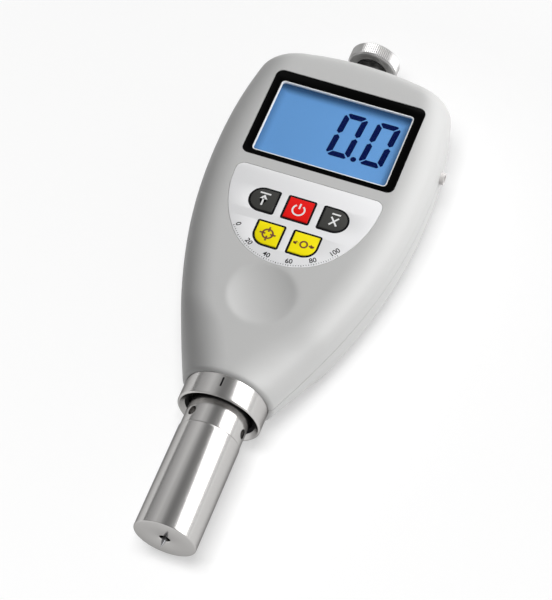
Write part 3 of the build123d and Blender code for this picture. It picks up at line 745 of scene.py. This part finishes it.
scale_reach, scale_centre, tick_radius, tick_rise = 54.0, 103.4, 18.95, 0.005
number_radius, number_size, number_rise = 17.85, 2.15, 0.008
ticks = grown("scale_ticks", tick_tree(), count=51, reach=math.radians(scale_reach),
              radius=tick_radius * MM, centre=(0, scale_centre * MM, (label_face + tick_rise) * MM),
              width=0.16 * MM, length=0.3 * MM, longer=0.2 * MM, every=5, height=0.03 * MM,
              finish=print_black)
fit(ticks, print_black, "label_film")

for number in range(0, 101, 20):
    text = bpy.data.curves.new("number", "FONT")
    text.body = str(number)
    text.size, text.extrude, text.offset = number_size * MM, 0.012 * MM, 0.028 * MM
    text.align_x, text.align_y = "CENTER", "CENTER"
    mesh = mesh_from(text)
    turn = math.radians(scale_reach * (number / 50 - 1))
    spot = (number_radius * math.sin(turn) * MM,
            (scale_centre - number_radius * math.cos(turn)) * MM, (label_face + number_rise) * MM)
    mesh.transform(Matrix.Translation(spot) @ Matrix.Rotation(turn, 4, "Z"))
    fit(put("scale_number_%d" % number, mesh), print_black, "label_film")

# painted shade: each black ring is the printed line round a key on the label, and further in a
# black fill down the gap between key and label, standing for the shade in that gap
line_width, gap_shade_width, line_rise = 0.34, 0.25, 0.02
for name in keys:
    fit(plate("border_" + name, [key_outline(name, line_width), key_outline(name, -gap_shade_width)],
              label_floor, label_face + line_rise), print_black, "label_film")

# ------------------------------------------------------------
# Keys. Five moulded silicone caps that stand a little proud of the label, each with a printed
# sign, a flange that keeps it under the cover, and a stem down to its switch.
key_top, flange_low, flange_top, flange, cap_sunk = 11.92, 8.42, 9.32, 0.7, 0.3
plunger_top, stem_radius, stem_lap = 7.3, 1.6, 0.1
key_paints = {
    "peak": paint("key_grey", (0.045, 0.045, 0.042), 0.42, specular=0.2),
    "power": paint("key_red", (0.78, 0.004, 0.002), 0.4, specular=0.2),
    "calibrate": paint("key_yellow", (0.93, 0.79, 0.0), 0.4, specular=0.2),
}
key_paints["average"], key_paints["zero"] = key_paints["peak"], key_paints["calibrate"]
key_slots = {"peak": "key_dark", "power": "key_red", "average": "key_dark",
             "calibrate": "key_yellow", "zero": "key_yellow"}


def fit_key(obj, finish, name, *nodes):
    """Fits a piece to its key."""
    fit(obj, finish, key_slots[name], *nodes, body="key_" + name)


for name, (x, y, _) in keys.items():
    cap = plate("cap_" + name, [key_outline(name, -key_gap)], flange_top - cap_sunk, key_top,
                bevel=0.13)
    base = plate("base_" + name, [key_outline(name, flange)], flange_low, flange_top)
    stem = prism(disc(x, y, stem_radius), plunger_top, flange_low + stem_lap, "stem_" + name)
    fit_key(cap, key_paints[name], name, "key_" + name)
    for part in (base, stem):
        fit_key(part, key_paints[name], name)


def stroke(points, closed=False, width=0.5):
    """Outline of a line of even width along points."""
    p = np.array(points, float)
    if closed:
        ahead, behind = np.roll(p, -1, 0), np.roll(p, 1, 0)
    else:
        ahead = np.vstack([p[1:], 2 * p[-1] - p[-2]])
        behind = np.vstack([2 * p[0] - p[1], p[:-1]])
    a, b = p - behind, ahead - p
    a /= np.hypot(*a.T)[:, None]
    b /= np.hypot(*b.T)[:, None]
    n = np.stack([-(a + b)[:, 1], (a + b)[:, 0]], 1)
    n /= np.hypot(*n.T)[:, None]
    reach = width / 2 / np.maximum(n[:, 0] * -b[:, 1] + n[:, 1] * b[:, 0], 0.4)
    left, right = p + n * reach[:, None], p - n * reach[:, None]
    if closed:
        return [left.tolist(), right.tolist()]
    return [left.tolist() + right[::-1].tolist()]


# an arrow up to a bar, a power sign, a barred x, a crossed ring, a ring between two arrows;
# the second print of a key holds the lines that cross those of its first
signs = {
    "peak": stroke([(0, -2.0), (0, 0.6)]) + [[(-1.15, 0.2), (1.15, 0.2), (0, 1.7)]]
    + stroke([(-1.6, 2.15), (1.6, 2.15)]),
    "power": stroke(arc(0, -0.15, 1.75, 125, 415)) + stroke([(0, 0.3), (0, 2.1)]),
    "average": stroke([(-1.1, -1.8), (1.1, 0.9)]) + stroke([(-1.3, 2.0), (1.3, 2.0)]),
    "calibrate": stroke(arc(0, 0, 1.5, 0, 352, 46), closed=True),
    "zero": stroke(arc(0, 0, 1.0, 0, 352, 46), closed=True),
}
more_signs = {
    "average": stroke([(-1.1, 0.9), (1.1, -1.8)]),
    "calibrate": stroke([(-2.4, 0), (-0.7, 0)]) + stroke([(0.7, 0), (2.4, 0)])
    + stroke([(0, -2.4), (0, -0.7)]) + stroke([(0, 0.7), (0, 2.4)]),
    "zero": stroke([(-3.1, 0), (-2.1, 0)]) + [[(-2.3, -0.65), (-1.4, 0), (-2.3, 0.65)]]
    + stroke([(3.1, 0), (2.1, 0)]) + [[(2.3, 0.65), (1.4, 0), (2.3, -0.65)]],
}
sign_sunk, sign_rise, second_rise = 0.01, 0.02, 0.004
white_print = paint("white_print", (0.80, 0.80, 0.80), 0.45)
brown_print = paint("brown_print", (0.16, 0.045, 0.02), 0.45)
for loops_by_key, suffix, rise in ((signs, "", 0.0), (more_signs, "_more", second_rise)):
    for name, loops in loops_by_key.items():
        x, y, _ = keys[name]
        placed = [[(x + px, y + py) for px, py in loop] for loop in loops]
        sign = plate("sign_" + name + suffix, placed, key_top - sign_sunk,
                     key_top + sign_rise + rise)
        fit_key(sign, brown_print if name in ("calibrate", "zero") else white_print, name)

# ------------------------------------------------------------
# Probe. The presser barrel with its foot, the neck and the collar are turned from steel and
# polished: profiles carried round the indenter's axis. The neck, with three holes for a tommy
# bar, is fixed in the housing's nose, and the collar is seated on it.
foot_radius, foot_depth, barrel_length, steel_steps = 9.0, 3, 32.0, 192
indenter_hole, stem_bore, spring_bore, stem_bore_end = 1.5, 7.05, 5, 11


def turning_tree():
    """Carries a profile of points round the axis, with fine teeth where asked."""
    tree, given = open_tree("turning", {
        "Profile": "Geometry", "Steps": "Int", "Teeth": "Int", "Tooth Depth": "Float",
        "Teeth Above Radius": "Float", "Hard Edge": "Float", "Finish": "Material",
    })
    count = add_node(tree, "GeometryNodeAttributeDomainSize",
                     {"Geometry": given["Profile"]}).outputs["Point Count"]
    around = calc(tree, "ADD", given["Steps"], 1.0)
    grid = add_node(tree, "GeometryNodeMeshGrid",
                    {"Vertices X": count, "Vertices Y": around}).outputs["Mesh"]
    index = out_of(tree, "GeometryNodeInputIndex")
    sample = out_of(tree, "GeometryNodeSampleIndex", {
        "Geometry": given["Profile"], "Value": out_of(tree, "GeometryNodeInputPosition"),
        "Index": calc(tree, "FLOOR", calc(tree, "DIVIDE", index, around)),
    }, data_type="FLOAT_VECTOR")
    split = add_node(tree, "ShaderNodeSeparateXYZ", {0: sample}).outputs
    turn = calc(tree, "DIVIDE", calc(tree, "MODULO", index, around), given["Steps"])
    tooth = calc(tree, "PINGPONG", calc(tree, "MULTIPLY", turn, given["Teeth"]), 0.5)
    outer = calc(tree, "GREATER_THAN", split["X"], given["Teeth Above Radius"])
    tooth = calc(tree, "MULTIPLY", calc(tree, "MULTIPLY", tooth, given["Tooth Depth"]), outer)
    radius = calc(tree, "SUBTRACT", split["X"], tooth)
    angle = calc(tree, "MULTIPLY", turn, 2 * math.pi)
    x, z = (calc(tree, "MULTIPLY", calc(tree, kind, angle), radius) for kind in ("COSINE", "SINE"))
    shape = out_of(tree, "GeometryNodeSetPosition",
                   {"Geometry": grid, "Position": vector_of(tree, x, split["Y"], z)})
    shape = out_of(tree, "GeometryNodeMergeByDistance", {"Geometry": shape, "Distance": 2e-7})
    bend = add_node(tree, "GeometryNodeInputMeshEdgeAngle").outputs["Unsigned Angle"]
    soft = calc(tree, "LESS_THAN", bend, given["Hard Edge"])
    for domain, is_smooth in (("FACE", True), ("EDGE", soft)):
        shape = out_of(tree, "GeometryNodeSetShadeSmooth",
                       {"Geometry": shape, "Shade Smooth": is_smooth}, domain=domain)
    return close_tree(tree, shape, given["Finish"])


turning = turning_tree()


def turned(name, profile, finish, steps=steel_steps, teeth=0, tooth_depth=0.0, teeth_above=1000.0,
           hard=32):
    """A piece turned from (radius, place along the axis) points that run round its section."""
    points = [(r, y, 0) for r, y in [*profile, profile[0]]]
    obj = grown(name, turning, points, [(i, i + 1) for i in range(len(profile))], steps=steps,
                teeth=teeth, tooth_depth=tooth_depth * MM, teeth_above_radius=teeth_above * MM,
                hard_edge=math.radians(hard), finish=finish)
    close_up(obj.data, weld=None)
    return obj


def broken(profile, size, corners):
    """Rounds the named corners of a profile by a small radius."""
    out = []
    for i, point in enumerate(profile):
        if i not in corners:
            out.append(point)
            continue
        p, a, b = (np.array(q, float)
                   for q in (point, profile[i - 1], profile[(i + 1) % len(profile)]))
        u, v = (a - p) / np.hypot(*(a - p)), (b - p) / np.hypot(*(b - p))
        out += [tuple(p + size * ((1 - t) ** 2 * u + t**2 * v)) for t in np.linspace(0, 1, 5)]
    return out


polished_steel = grain(paint("polished_steel", (0.58, 0.57, 0.56), 0.19, metallic=1.0),
                       scale=900, depth=0.004, stretch=(1, 0.02, 1))
shader_of(polished_steel).inputs["Specular Tint"].default_value = (0.25, 0.25, 0.25, 1)
barrel = turned("barrel", broken([
    (indenter_hole, 0), (foot_radius, 0), (foot_radius, barrel_length), (stem_bore, barrel_length),
    (stem_bore, stem_bore_end), (spring_bore, stem_bore_end), (spring_bore, foot_depth),
    (indenter_hole, foot_depth),
], 0.35, (0, 1, 2)), polished_steel)
fit(barrel, polished_steel, "polished_steel", "presser_barrel")

neck_radius, neck_stem, bush_bore, neck_start, neck_end = 8.8, 7, 6.2, 26, 56.6
tommy_y, tommy_radius, tommy_depth, tommy_angles = 35.4, 1.4, 2.2, (-42, 78, 198)
neck = turned("neck", broken([
    (bush_bore, neck_start), (neck_stem, neck_start), (neck_stem, barrel_length),
    (neck_radius, barrel_length), (neck_radius, nose_y), (neck_stem, nose_y),
    (neck_stem, neck_end), (bush_bore, neck_end),
], 0.3, (3,)), polished_steel)
drills = []
for angle in tommy_angles:
    drill = prism(disc(0, 0, tommy_radius), neck_radius - tommy_depth, neck_radius + 1)
    drill.data.transform(Matrix.Translation((0, tommy_y * MM, 0))
                         @ Matrix.Rotation(math.radians(angle), 4, "Y"))
    drills.append(drill)
carve(neck, drills)
fit(neck, polished_steel, "polished_steel", "probe_neck")

collar_radius, collar_low, collar_bore, collar_web, collar_sink = 12.15, 39.0, 9.55, 43.4, 2.0
collar_edge, collar_hole = 0.35, 8.85
collar = turned("collar", broken([
    (collar_bore, collar_low + collar_sink), (collar_bore + collar_sink, collar_low),
    (collar_radius - collar_edge, collar_low), (collar_radius, collar_low + collar_edge),
    (collar_radius, nose_y), (collar_hole, nose_y), (collar_hole, collar_web),
    (collar_bore, collar_web),
], 0.12, (1, 2, 3)), polished_steel)
fit(collar, polished_steel, "polished_steel", "collar_ring")
# painted shade: a thin black lining inside the collar's bore surface stands for the deep shade in
# the gap, so the bore looks dark from outside
collar_bore_shade = turned("collar_liner", [(collar_bore + out, y) for out, y in (
    (-0.03, collar_web - 0.02), (-0.03, collar_low + collar_sink),
    (0.8, collar_low + collar_sink - 0.83), (0.9, collar_low + collar_sink - 0.73),
    (0.15, collar_low + collar_sink + 0.1), (0.15, collar_web - 0.02),
)], print_black, 128)
fit(collar_bore_shade, print_black, "polished_steel")
mark_half, mark_low, mark_high, mark_sunk, mark_rise = 0.25, 42.1, 44.9, 0.2, 0.02
index_mark = box(wide(mark_half), (mark_low, mark_high),
                 (collar_radius - mark_sunk, collar_radius + mark_rise), "index_mark")
fit(index_mark, print_black, "polished_steel")

# ------------------------------------------------------------
# Top end. A shouldered steel stud with an M5 end for a test stand comes out of the top wall. A
# washer, painted black for the dark reflections and shade under the nut, lies on its shoulder, and
# a knurled steel nut is screwed on over it.
stud_foot, stud_foot_radius, stud_radius = 152.9, 3, 3.5
shoulder, thread_end, thread_radius, thread_depth, pitch = 165.0, 169.0, 2.5, 0.45, 0.8
nut_radius, nut_low, nut_top, nut_bore, nut_bore_end = 7.65, 165.4, 170.0, 2.58, 169.3
washer_radius, washer_bore, nut_recess, nut_recess_radius = 4.8, 2.6, 0.5, 6.55
nut_chamfer, nut_crown, thread_flat = 0.55, 0.6, 0.05
black_steel = paint("black_steel", (0.07, 0.07, 0.07), 0.25, metallic=1.0)
knurled_steel = paint("knurled_steel", (0.50, 0.495, 0.49), 0.36, metallic=1.0)

stud_profile = [(0, stud_foot), (stud_foot_radius, stud_foot), (stud_foot_radius, housing_top),
                (stud_radius, housing_top), (stud_radius, shoulder)]
for i in range(int((thread_end - shoulder) / pitch)):
    y = shoulder + i * pitch
    stud_profile += [
        (thread_radius - thread_depth, y + thread_flat), (thread_radius, y + pitch / 2),
        (thread_radius - thread_depth, y + pitch - thread_flat),
    ]
stud = turned("stud", [*stud_profile, (0, thread_end)], polished_steel, 72)
fit(stud, polished_steel, "polished_steel", "top_stud")
# painted shade and reflection: the washer's black stands for the dark reflections and shade in the
# polished recess under the nut
washer = turned("washer", [(washer_bore, shoulder), (washer_radius, shoulder),
                           (washer_radius, nut_low), (washer_bore, nut_low)], black_steel, 72)
fit(washer, black_steel, "ground_steel", "nut_washer", body="nut_washer")
nut = turned("knurled_head", broken([
    (nut_bore, nut_low), (washer_radius, nut_low), (washer_radius, nut_low + nut_recess),
    (nut_recess_radius, nut_low + nut_recess), (nut_recess_radius, nut_low),
    (nut_radius - nut_chamfer, nut_low), (nut_radius, nut_low + nut_chamfer),
    (nut_radius, nut_top - nut_crown), (nut_radius - nut_crown, nut_top), (0, nut_top),
    (0, nut_bore_end), (nut_bore, nut_bore_end),
], 0.15, (8,)), knurled_steel, 480, teeth=80, tooth_depth=0.4, teeth_above=nut_radius - 0.1,
    hard=25)
fit(nut, knurled_steel, "polished_steel", "knurled_nut", body="knurled_nut")

# ------------------------------------------------------------
# Data socket. A black moulded body behind the right side wall, whose pale moulded nose, with a
# dark hole, stands out of the wall. The hole is lined black as painted shade.
moulded_black = paint("moulded_black", (0.03, 0.03, 0.032), 0.5)
pale_plastic = paint("pale_plastic", (0.60, 0.58, 0.57), 0.35)
jack_back, jack_body_end, jack_half, jack_body_top = 23.5, 29.2, 3, 3.0
jack_floor, jack_reach, jack_bore = 24.5, 33.3, 1.28
sleeve_low, sleeve_floor, sleeve_top, sleeve_bore = 24.3, 24.6, 32.8, 1.2
sideways = Matrix(((0, 1, 0, 0), (1, 0, 0, jack_y * MM), (0, 0, 1, jack_z * MM), (0, 0, 0, 1)))
nose = turned("socket_nose", broken([
    (jack_bore, jack_floor), (jack_nose / 2, jack_floor), (jack_nose / 2, jack_reach),
    (jack_bore, jack_reach),
], 0.22, (2, 3)), pale_plastic, 64)
# painted shade: a thin black lining in the nose's hole stands for the shade inside it
socket_bore_lining_shade = turned("socket_sleeve", [
    (0, sleeve_low), (jack_bore, sleeve_low), (jack_bore, sleeve_top), (sleeve_bore, sleeve_top),
    (sleeve_bore, sleeve_floor), (0, sleeve_floor),
], moulded_black, 48)
for piece in (nose, socket_bore_lining_shade):
    piece.data.transform(sideways)
    piece.data.flip_normals()
body = box((jack_back, jack_body_end), (jack_y - jack_half, jack_y + jack_half),
           (jack_z - jack_half, jack_body_top), "socket_body")
fit(body, moulded_black, "white_plastic", "data_socket")
fit(socket_bore_lining_shade, moulded_black, "white_plastic")
fit(nose, pale_plastic, "white_plastic")

# ------------------------------------------------------------
# Load spring. Square spring steel wire wound round the spindle, between its flange and the
# adjuster. It shortens by the indenter's travel when the tester is pressed on a sample.
spring_low, spring_rise, spring_radius, spring_wire, spring_turns = 15.135, 27.73, 4.4, 1.7, 9.72
dark_steel = paint("dark_steel", (0.30, 0.30, 0.31), 0.35, metallic=1.0)


def coil_tree():
    """Wire with rounded edges wound along Z, between two radii."""
    tree, given = open_tree("coil", {
        "Turns": "Float", "Start Radius": "Float", "End Radius": "Float", "Height": "Float",
        "Wire": "Float", "Edge": "Float", "Steps": "Int", "Finish": "Material",
    })
    path = out_of(tree, "GeometryNodeCurveSpiral", {
        "Resolution": given["Steps"], "Rotations": given["Turns"], "Height": given["Height"],
        "Start Radius": given["Start Radius"], "End Radius": given["End Radius"],
    })
    path = out_of(tree, "GeometryNodeSetCurveNormal", {"Curve": path}, mode="Z_UP")
    section = out_of(tree, "GeometryNodeCurvePrimitiveQuadrilateral",
                     {"Width": given["Wire"], "Height": given["Wire"]})
    section = out_of(tree, "GeometryNodeFilletCurve",
                     {"Curve": section, "Radius": given["Edge"], "Count": 4}, mode="POLY")
    wire = out_of(tree, "GeometryNodeCurveToMesh",
                  {"Curve": path, "Profile Curve": section, "Fill Caps": True})
    wire = out_of(tree, "GeometryNodeSetShadeSmooth", {"Geometry": wire, "Shade Smooth": True})
    return close_tree(tree, wire, given["Finish"])


coil = coil_tree()


def wound(name, turns, radii, rise, wire, edge, steps, finish, start):
    """Coil spring round the axis, from a place along it."""
    obj = grown(name, coil, turns=turns, start_radius=radii[0] * MM, end_radius=radii[1] * MM,
                height=rise * MM, wire=wire * MM, edge=edge * MM, steps=steps, finish=finish)
    along_axis = Matrix(((1, 0, 0, 0), (0, 0, 1, 0), (0, -1, 0, 0), (0, 0, 0, 1)))
    obj.data.transform(Matrix.Translation((0, start * MM, 0)) @ along_axis)
    return obj


load_spring = wound("wound_spring", spring_turns, (spring_radius, spring_radius), spring_rise,
                    spring_wire, edge=0.18, steps=32, finish=dark_steel, start=spring_low)
load_spring.data.set_sharp_from_angle(angle=math.radians(50))
fit(load_spring, dark_steel, "spring_steel", "load_spring")
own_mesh(load_spring)

# ------------------------------------------------------------
# Cells and contacts. Four cells with film jackets lie side by side in the bay, every second one
# turned round, each between a flat plate and a tapered coil of nickel plated wire.
cell_pitch, cell_z, cell_radius, bay_middle = 10.65, -8.5, 5.25, (bay_start + bay_end) / 2
can_radius, can_low, can_top, pole_radius, pole_top = 4.45, -20.45, 23.0, 1.9, 23.95
jacket_hole, jacket_low, jacket_top = 4.4, -20.55, 23.15
plus_y, plus_half, plus_line, contact_place = 18.0, 1.3, 0.3, 0.65
cell_places = [((i - 1.5) * cell_pitch, bay_middle, cell_z) for i in range(4)]
cell_jacket = paint("cell_jacket", (0.05, 0.11, 0.24), 0.3, coat=0.4)
nickel = paint("nickel", (0.66, 0.64, 0.60), 0.25, metallic=1.0)


def repeat_tree():
    """Copies of one piece at points, every second copy turned about Z if asked."""
    tree, given = open_tree("repeat", {"Places": "Geometry", "Pattern": "Object",
                                       "Turn": "Float", "Finish": "Material"})
    pattern = add_node(tree, "GeometryNodeObjectInfo",
                       {"Object": given["Pattern"]}).outputs["Geometry"]
    index = out_of(tree, "GeometryNodeInputIndex")
    bearing = calc(tree, "MULTIPLY", calc(tree, "MODULO", index, 2.0), given["Turn"])
    copies = out_of(tree, "GeometryNodeInstanceOnPoints", {
        "Points": given["Places"], "Instance": pattern, "Rotation": turned_by(tree, bearing)})
    return close_tree(tree, copies, given["Finish"])


repeat = repeat_tree()


def fit_copies(name, pattern, places, finish, slot, *nodes, turn=math.pi):
    """One mesh with a copy of the pattern at each place; the pattern itself goes."""
    obj = grown(name, repeat, places, pattern=pattern, turn=turn, finish=finish)
    bpy.data.objects.remove(pattern)
    fit(obj, finish, slot, *nodes)


jacket = turned("jacket", broken([
    (jacket_hole, jacket_low), (cell_radius, jacket_low), (cell_radius, jacket_top),
    (jacket_hole, jacket_top),
], 0.25, (1, 2)), cell_jacket, 96)
core = turned("core", broken([
    (0, can_low), (can_radius, can_low), (can_radius, can_top), (pole_radius, can_top),
    (pole_radius, pole_top), (0, pole_top),
], 0.2, (4,)), nickel, 72)
fit_copies("cell_jackets", jacket, cell_places, cell_jacket, "cell_jacket", "battery_cells")
fit_copies("cell_cores", core, cell_places, nickel, "cell_jacket")
plus_z = (-cell_radius - 0.02, -4.9)
plus = carve(
    box(wide(plus_half), (plus_y - plus_line, plus_y + plus_line), plus_z, "plus"),
    [box(wide(plus_line), (plus_y - plus_half, plus_y + plus_half), plus_z)], "UNION")
fit_copies("cell_signs", plus, cell_places, white_print, "cell_jacket")
contact = wound("contact", turns=3.25, radii=(3.1, 1.4), rise=2.9, wire=0.5, edge=0.24,
                steps=28, finish=nickel, start=bay_start + contact_place - bay_middle)
fit_copies("contact_coils", contact, cell_places, nickel, "contact_nickel", "contact_springs")

# ------------------------------------------------------------
# Cover screws. Four cross recessed steel screws, sunk deep in the back cover, that pull the two
# covers together.
head_low, head_high, head_radius, shank_radius, screw_end = -10.2, -8.2, 2.3, 1.25, 3.8
recess_half, recess_line, recess_depth = 1.3, 0.25, 1.1
screw = turned("screw", [
    (0, head_low), (1.2, head_low + 0.08), (1.9, head_low + 0.4), (head_radius, head_low + 1.1),
    (head_radius, head_high), (shank_radius, head_high), (shank_radius, screw_end),
    (0, screw_end),
], dark_steel, 48)
screw.data.transform(Matrix(((1, 0, 0, 0), (0, 0, -1, 0), (0, 1, 0, 0), (0, 0, 0, 1))))
carve(screw, [box(wide(x), wide(y), (head_low - 1, head_low + recess_depth))
              for x, y in ((recess_half, recess_line), (recess_line, recess_half))])
fit_copies("cross_screws", screw, [(x, y, 0) for x, y in cover_screws], dark_steel,
           "screw_steel", "cover_screws", turn=0.0)

# ------------------------------------------------------------
# Pieces inside. The spindle with its indenter, bushes, adjuster, travel coil, board, switches
# and backlight keep their packed form, and get their metals and mouldings here.
ground_steel = grain(paint("ground_steel", (0.55, 0.55, 0.57), 0.3, metallic=1.0),
                     scale=60, depth=0.006, stretch=(1, 20, 1))
brass = paint("brass", (0.72, 0.50, 0.22), 0.25, metallic=1.0)
bronze = paint("bronze", (0.55, 0.33, 0.16), 0.45, metallic=1.0)
board_green = paint("board_green", (0.02, 0.16, 0.07), 0.4)
copper = grain(paint("copper", (0.62, 0.26, 0.11), 0.35, metallic=1.0),
               scale=30, depth=0.05, stretch=(1, 40, 1))
zebra = paint("zebra_rubber", (0.55, 0.22, 0.30), 0.6)
diffuser = paint("diffuser", (0.75, 0.82, 0.88), 0.4)
for finish, nodes in (
    (ground_steel, ("spindle", "sensor_core", "probe_locknut", "stud_nut")),
    (dark_steel, ("indenter", "indenter_screw", "board_screws")),
    (bronze, ("front_bush", "rear_bush")),
    (brass, ("spring_adjuster",)),
    (moulded_black, ("coil_former", "board_chips", *["plunger_" + name for name in keys])),
    (copper, ("coil_windings",)),
    (nickel, ("key_switches", "contact_plates")),
    (board_green, ("main_board",)),
    (diffuser, ("backlight",)),
    (zebra, ("display_connectors",)),
):
    for node in nodes:
        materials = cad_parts[node].data.materials
        materials.clear()
        materials.append(finish)

# ------------------------------------------------------------
# Studio. A white floor that keeps the object's shadow, in a pale room, with a wide soft lamp on
# the right, a weak one on the left, and one from above for the floor only. The camera's place
# was fitted to the round parts in the photograph.
floor_half, floor_gap = 3000, 0.05
floor_z = -back_depth - floor_gap
floor = new_piece("floor", [(x * floor_half, y * floor_half, floor_z)
                            for x, y in ((-1, -1), (1, -1), (1, 1), (-1, 1))], [[0, 1, 2, 3]])
white_floor = paint("white_floor", (0.6, 0.6, 0.6), 0.9, specular=0.0)
floor.data.materials.append(white_floor)
floor_tree = white_floor.node_tree
rays = add_node(floor_tree, "ShaderNodeLightPath").outputs
seen = calc(floor_tree, "ADD", rays["Is Camera Ray"], rays["Is Glossy Ray"])
spot = add_node(floor_tree, "ShaderNodeTexCoord").outputs["Object"]
away = add_node(floor_tree, "ShaderNodeVectorMath", {0: spot}, operation="LENGTH").outputs["Value"]
paler = span(floor_tree, away, (0.20, 0.9), (0.43, 1.0))
shader_of(white_floor).inputs["Emission Color"].default_value = (1, 1, 1, 1)
floor_tree.links.new(calc(floor_tree, "MULTIPLY", seen, paler),
                     shader_of(white_floor).inputs["Emission Strength"])

world = bpy.data.worlds.new("studio")
bpy.context.scene.world = world
world.use_nodes = True
room_tree = world.node_tree
sky = room_tree.nodes["Background"]
sky.inputs["Color"].default_value = (1, 1, 1, 1)
place = add_node(room_tree, "ShaderNodeTexCoord").outputs["Generated"]
place = add_node(room_tree, "ShaderNodeSeparateXYZ", {0: place}).outputs
room = calc(room_tree, "MULTIPLY",
            span(room_tree, place["Z"], (0.30, 0.38), (0.75, 0.25), "SMOOTHSTEP"),
            span(room_tree, place["X"], (-0.6, 0.6), (0.40, 1.1)))
rays = add_node(room_tree, "ShaderNodeLightPath").outputs
bright = calc(room_tree, "MAXIMUM", rays["Is Camera Ray"], room)
# polished metal shows the white tent round the object, palest at its two sides
across = span(room_tree, place["X"], (-1.0, 1.0), (0.0, 1.0))
tent = add_node(room_tree, "ShaderNodeValToRGB", {0: across})
tent_ends, tent_stops = (0.20, 0.90), ((0.10, 0.40), (0.20, 0.62), (0.30, 0.60), (0.38, 0.34),
                                       (0.46, 0.22), (0.56, 0.24), (0.68, 0.38), (0.80, 0.60))
for element, tone in zip(tent.color_ramp.elements, tent_ends):
    element.color = (tone, tone, tone, 1)
for stop, tone in tent_stops:
    tent.color_ramp.elements.new(stop).color = (tone, tone, tone, 1)
shown = calc(room_tree, "MULTIPLY", rays["Is Glossy Ray"], tent.outputs[0])
room_tree.links.new(calc(room_tree, "MAXIMUM", bright, shown), sky.inputs["Strength"])

aim = Vector((0, 0.08, 0))


def lamp(name, toward, distance, width, height, power, state="INCLUDE"):
    """Soft rectangular lamp that way from the object; it lights the floor only, or all but it."""
    light = bpy.data.lights.new(name, "AREA")
    light.shape = "RECTANGLE"
    light.size, light.size_y = width, height
    light.energy = power
    obj = bpy.data.objects.new(name, light)
    toward = Vector(toward).normalized()
    obj.location = aim + toward * distance
    obj.rotation_mode = "QUATERNION"
    obj.rotation_quaternion = (-toward).to_track_quat("-Z", "Y")
    bpy.context.scene.collection.objects.link(obj)
    group = bpy.data.collections.new(name + "_reach")
    group.objects.link(floor)
    group.collection_objects[0].light_linking.link_state = state
    obj.light_linking.receiver_collection = group


lamp("right_lamp", (0.68, 0.50, 0.64), 0.85, 1.7, 0.6, 12.6, "EXCLUDE")
lamp("left_lamp", (-0.76, 0.35, 0.52), 1.2, 1.8, 0.85, 0.7, "EXCLUDE")
lamp("floor_lamp", (0.02, -0.22, 1.0), 1.2, 0.5, 0.5, 10.8)

# rows: the picture's right, down and ahead
camera_turn = np.array([[0.9356, 0.3522, -0.0266], [0.2867, -0.8013, -0.5252],
                        [-0.2063, 0.4837, -0.8506]])
camera_shift = np.array([-29.4955, 63.2191, 580.25])
focal_pixels, long_side, sensor = 2193.1, 600, 36.0
camera = bpy.data.cameras.new("camera")
camera.sensor_width = sensor
camera.lens = focal_pixels / long_side * sensor
camera.clip_start, camera.clip_end = 0.05, 20
eye = put("camera", camera)
turn_matrix = Matrix((camera_turn.T @ np.diag((1, -1, -1))).tolist()).to_4x4()
eye.matrix_world = Matrix.Translation(Vector(-camera_turn.T @ camera_shift * MM)) @ turn_matrix
bpy.context.scene.camera = eye
bpy.context.scene.view_settings.view_transform = "Standard"
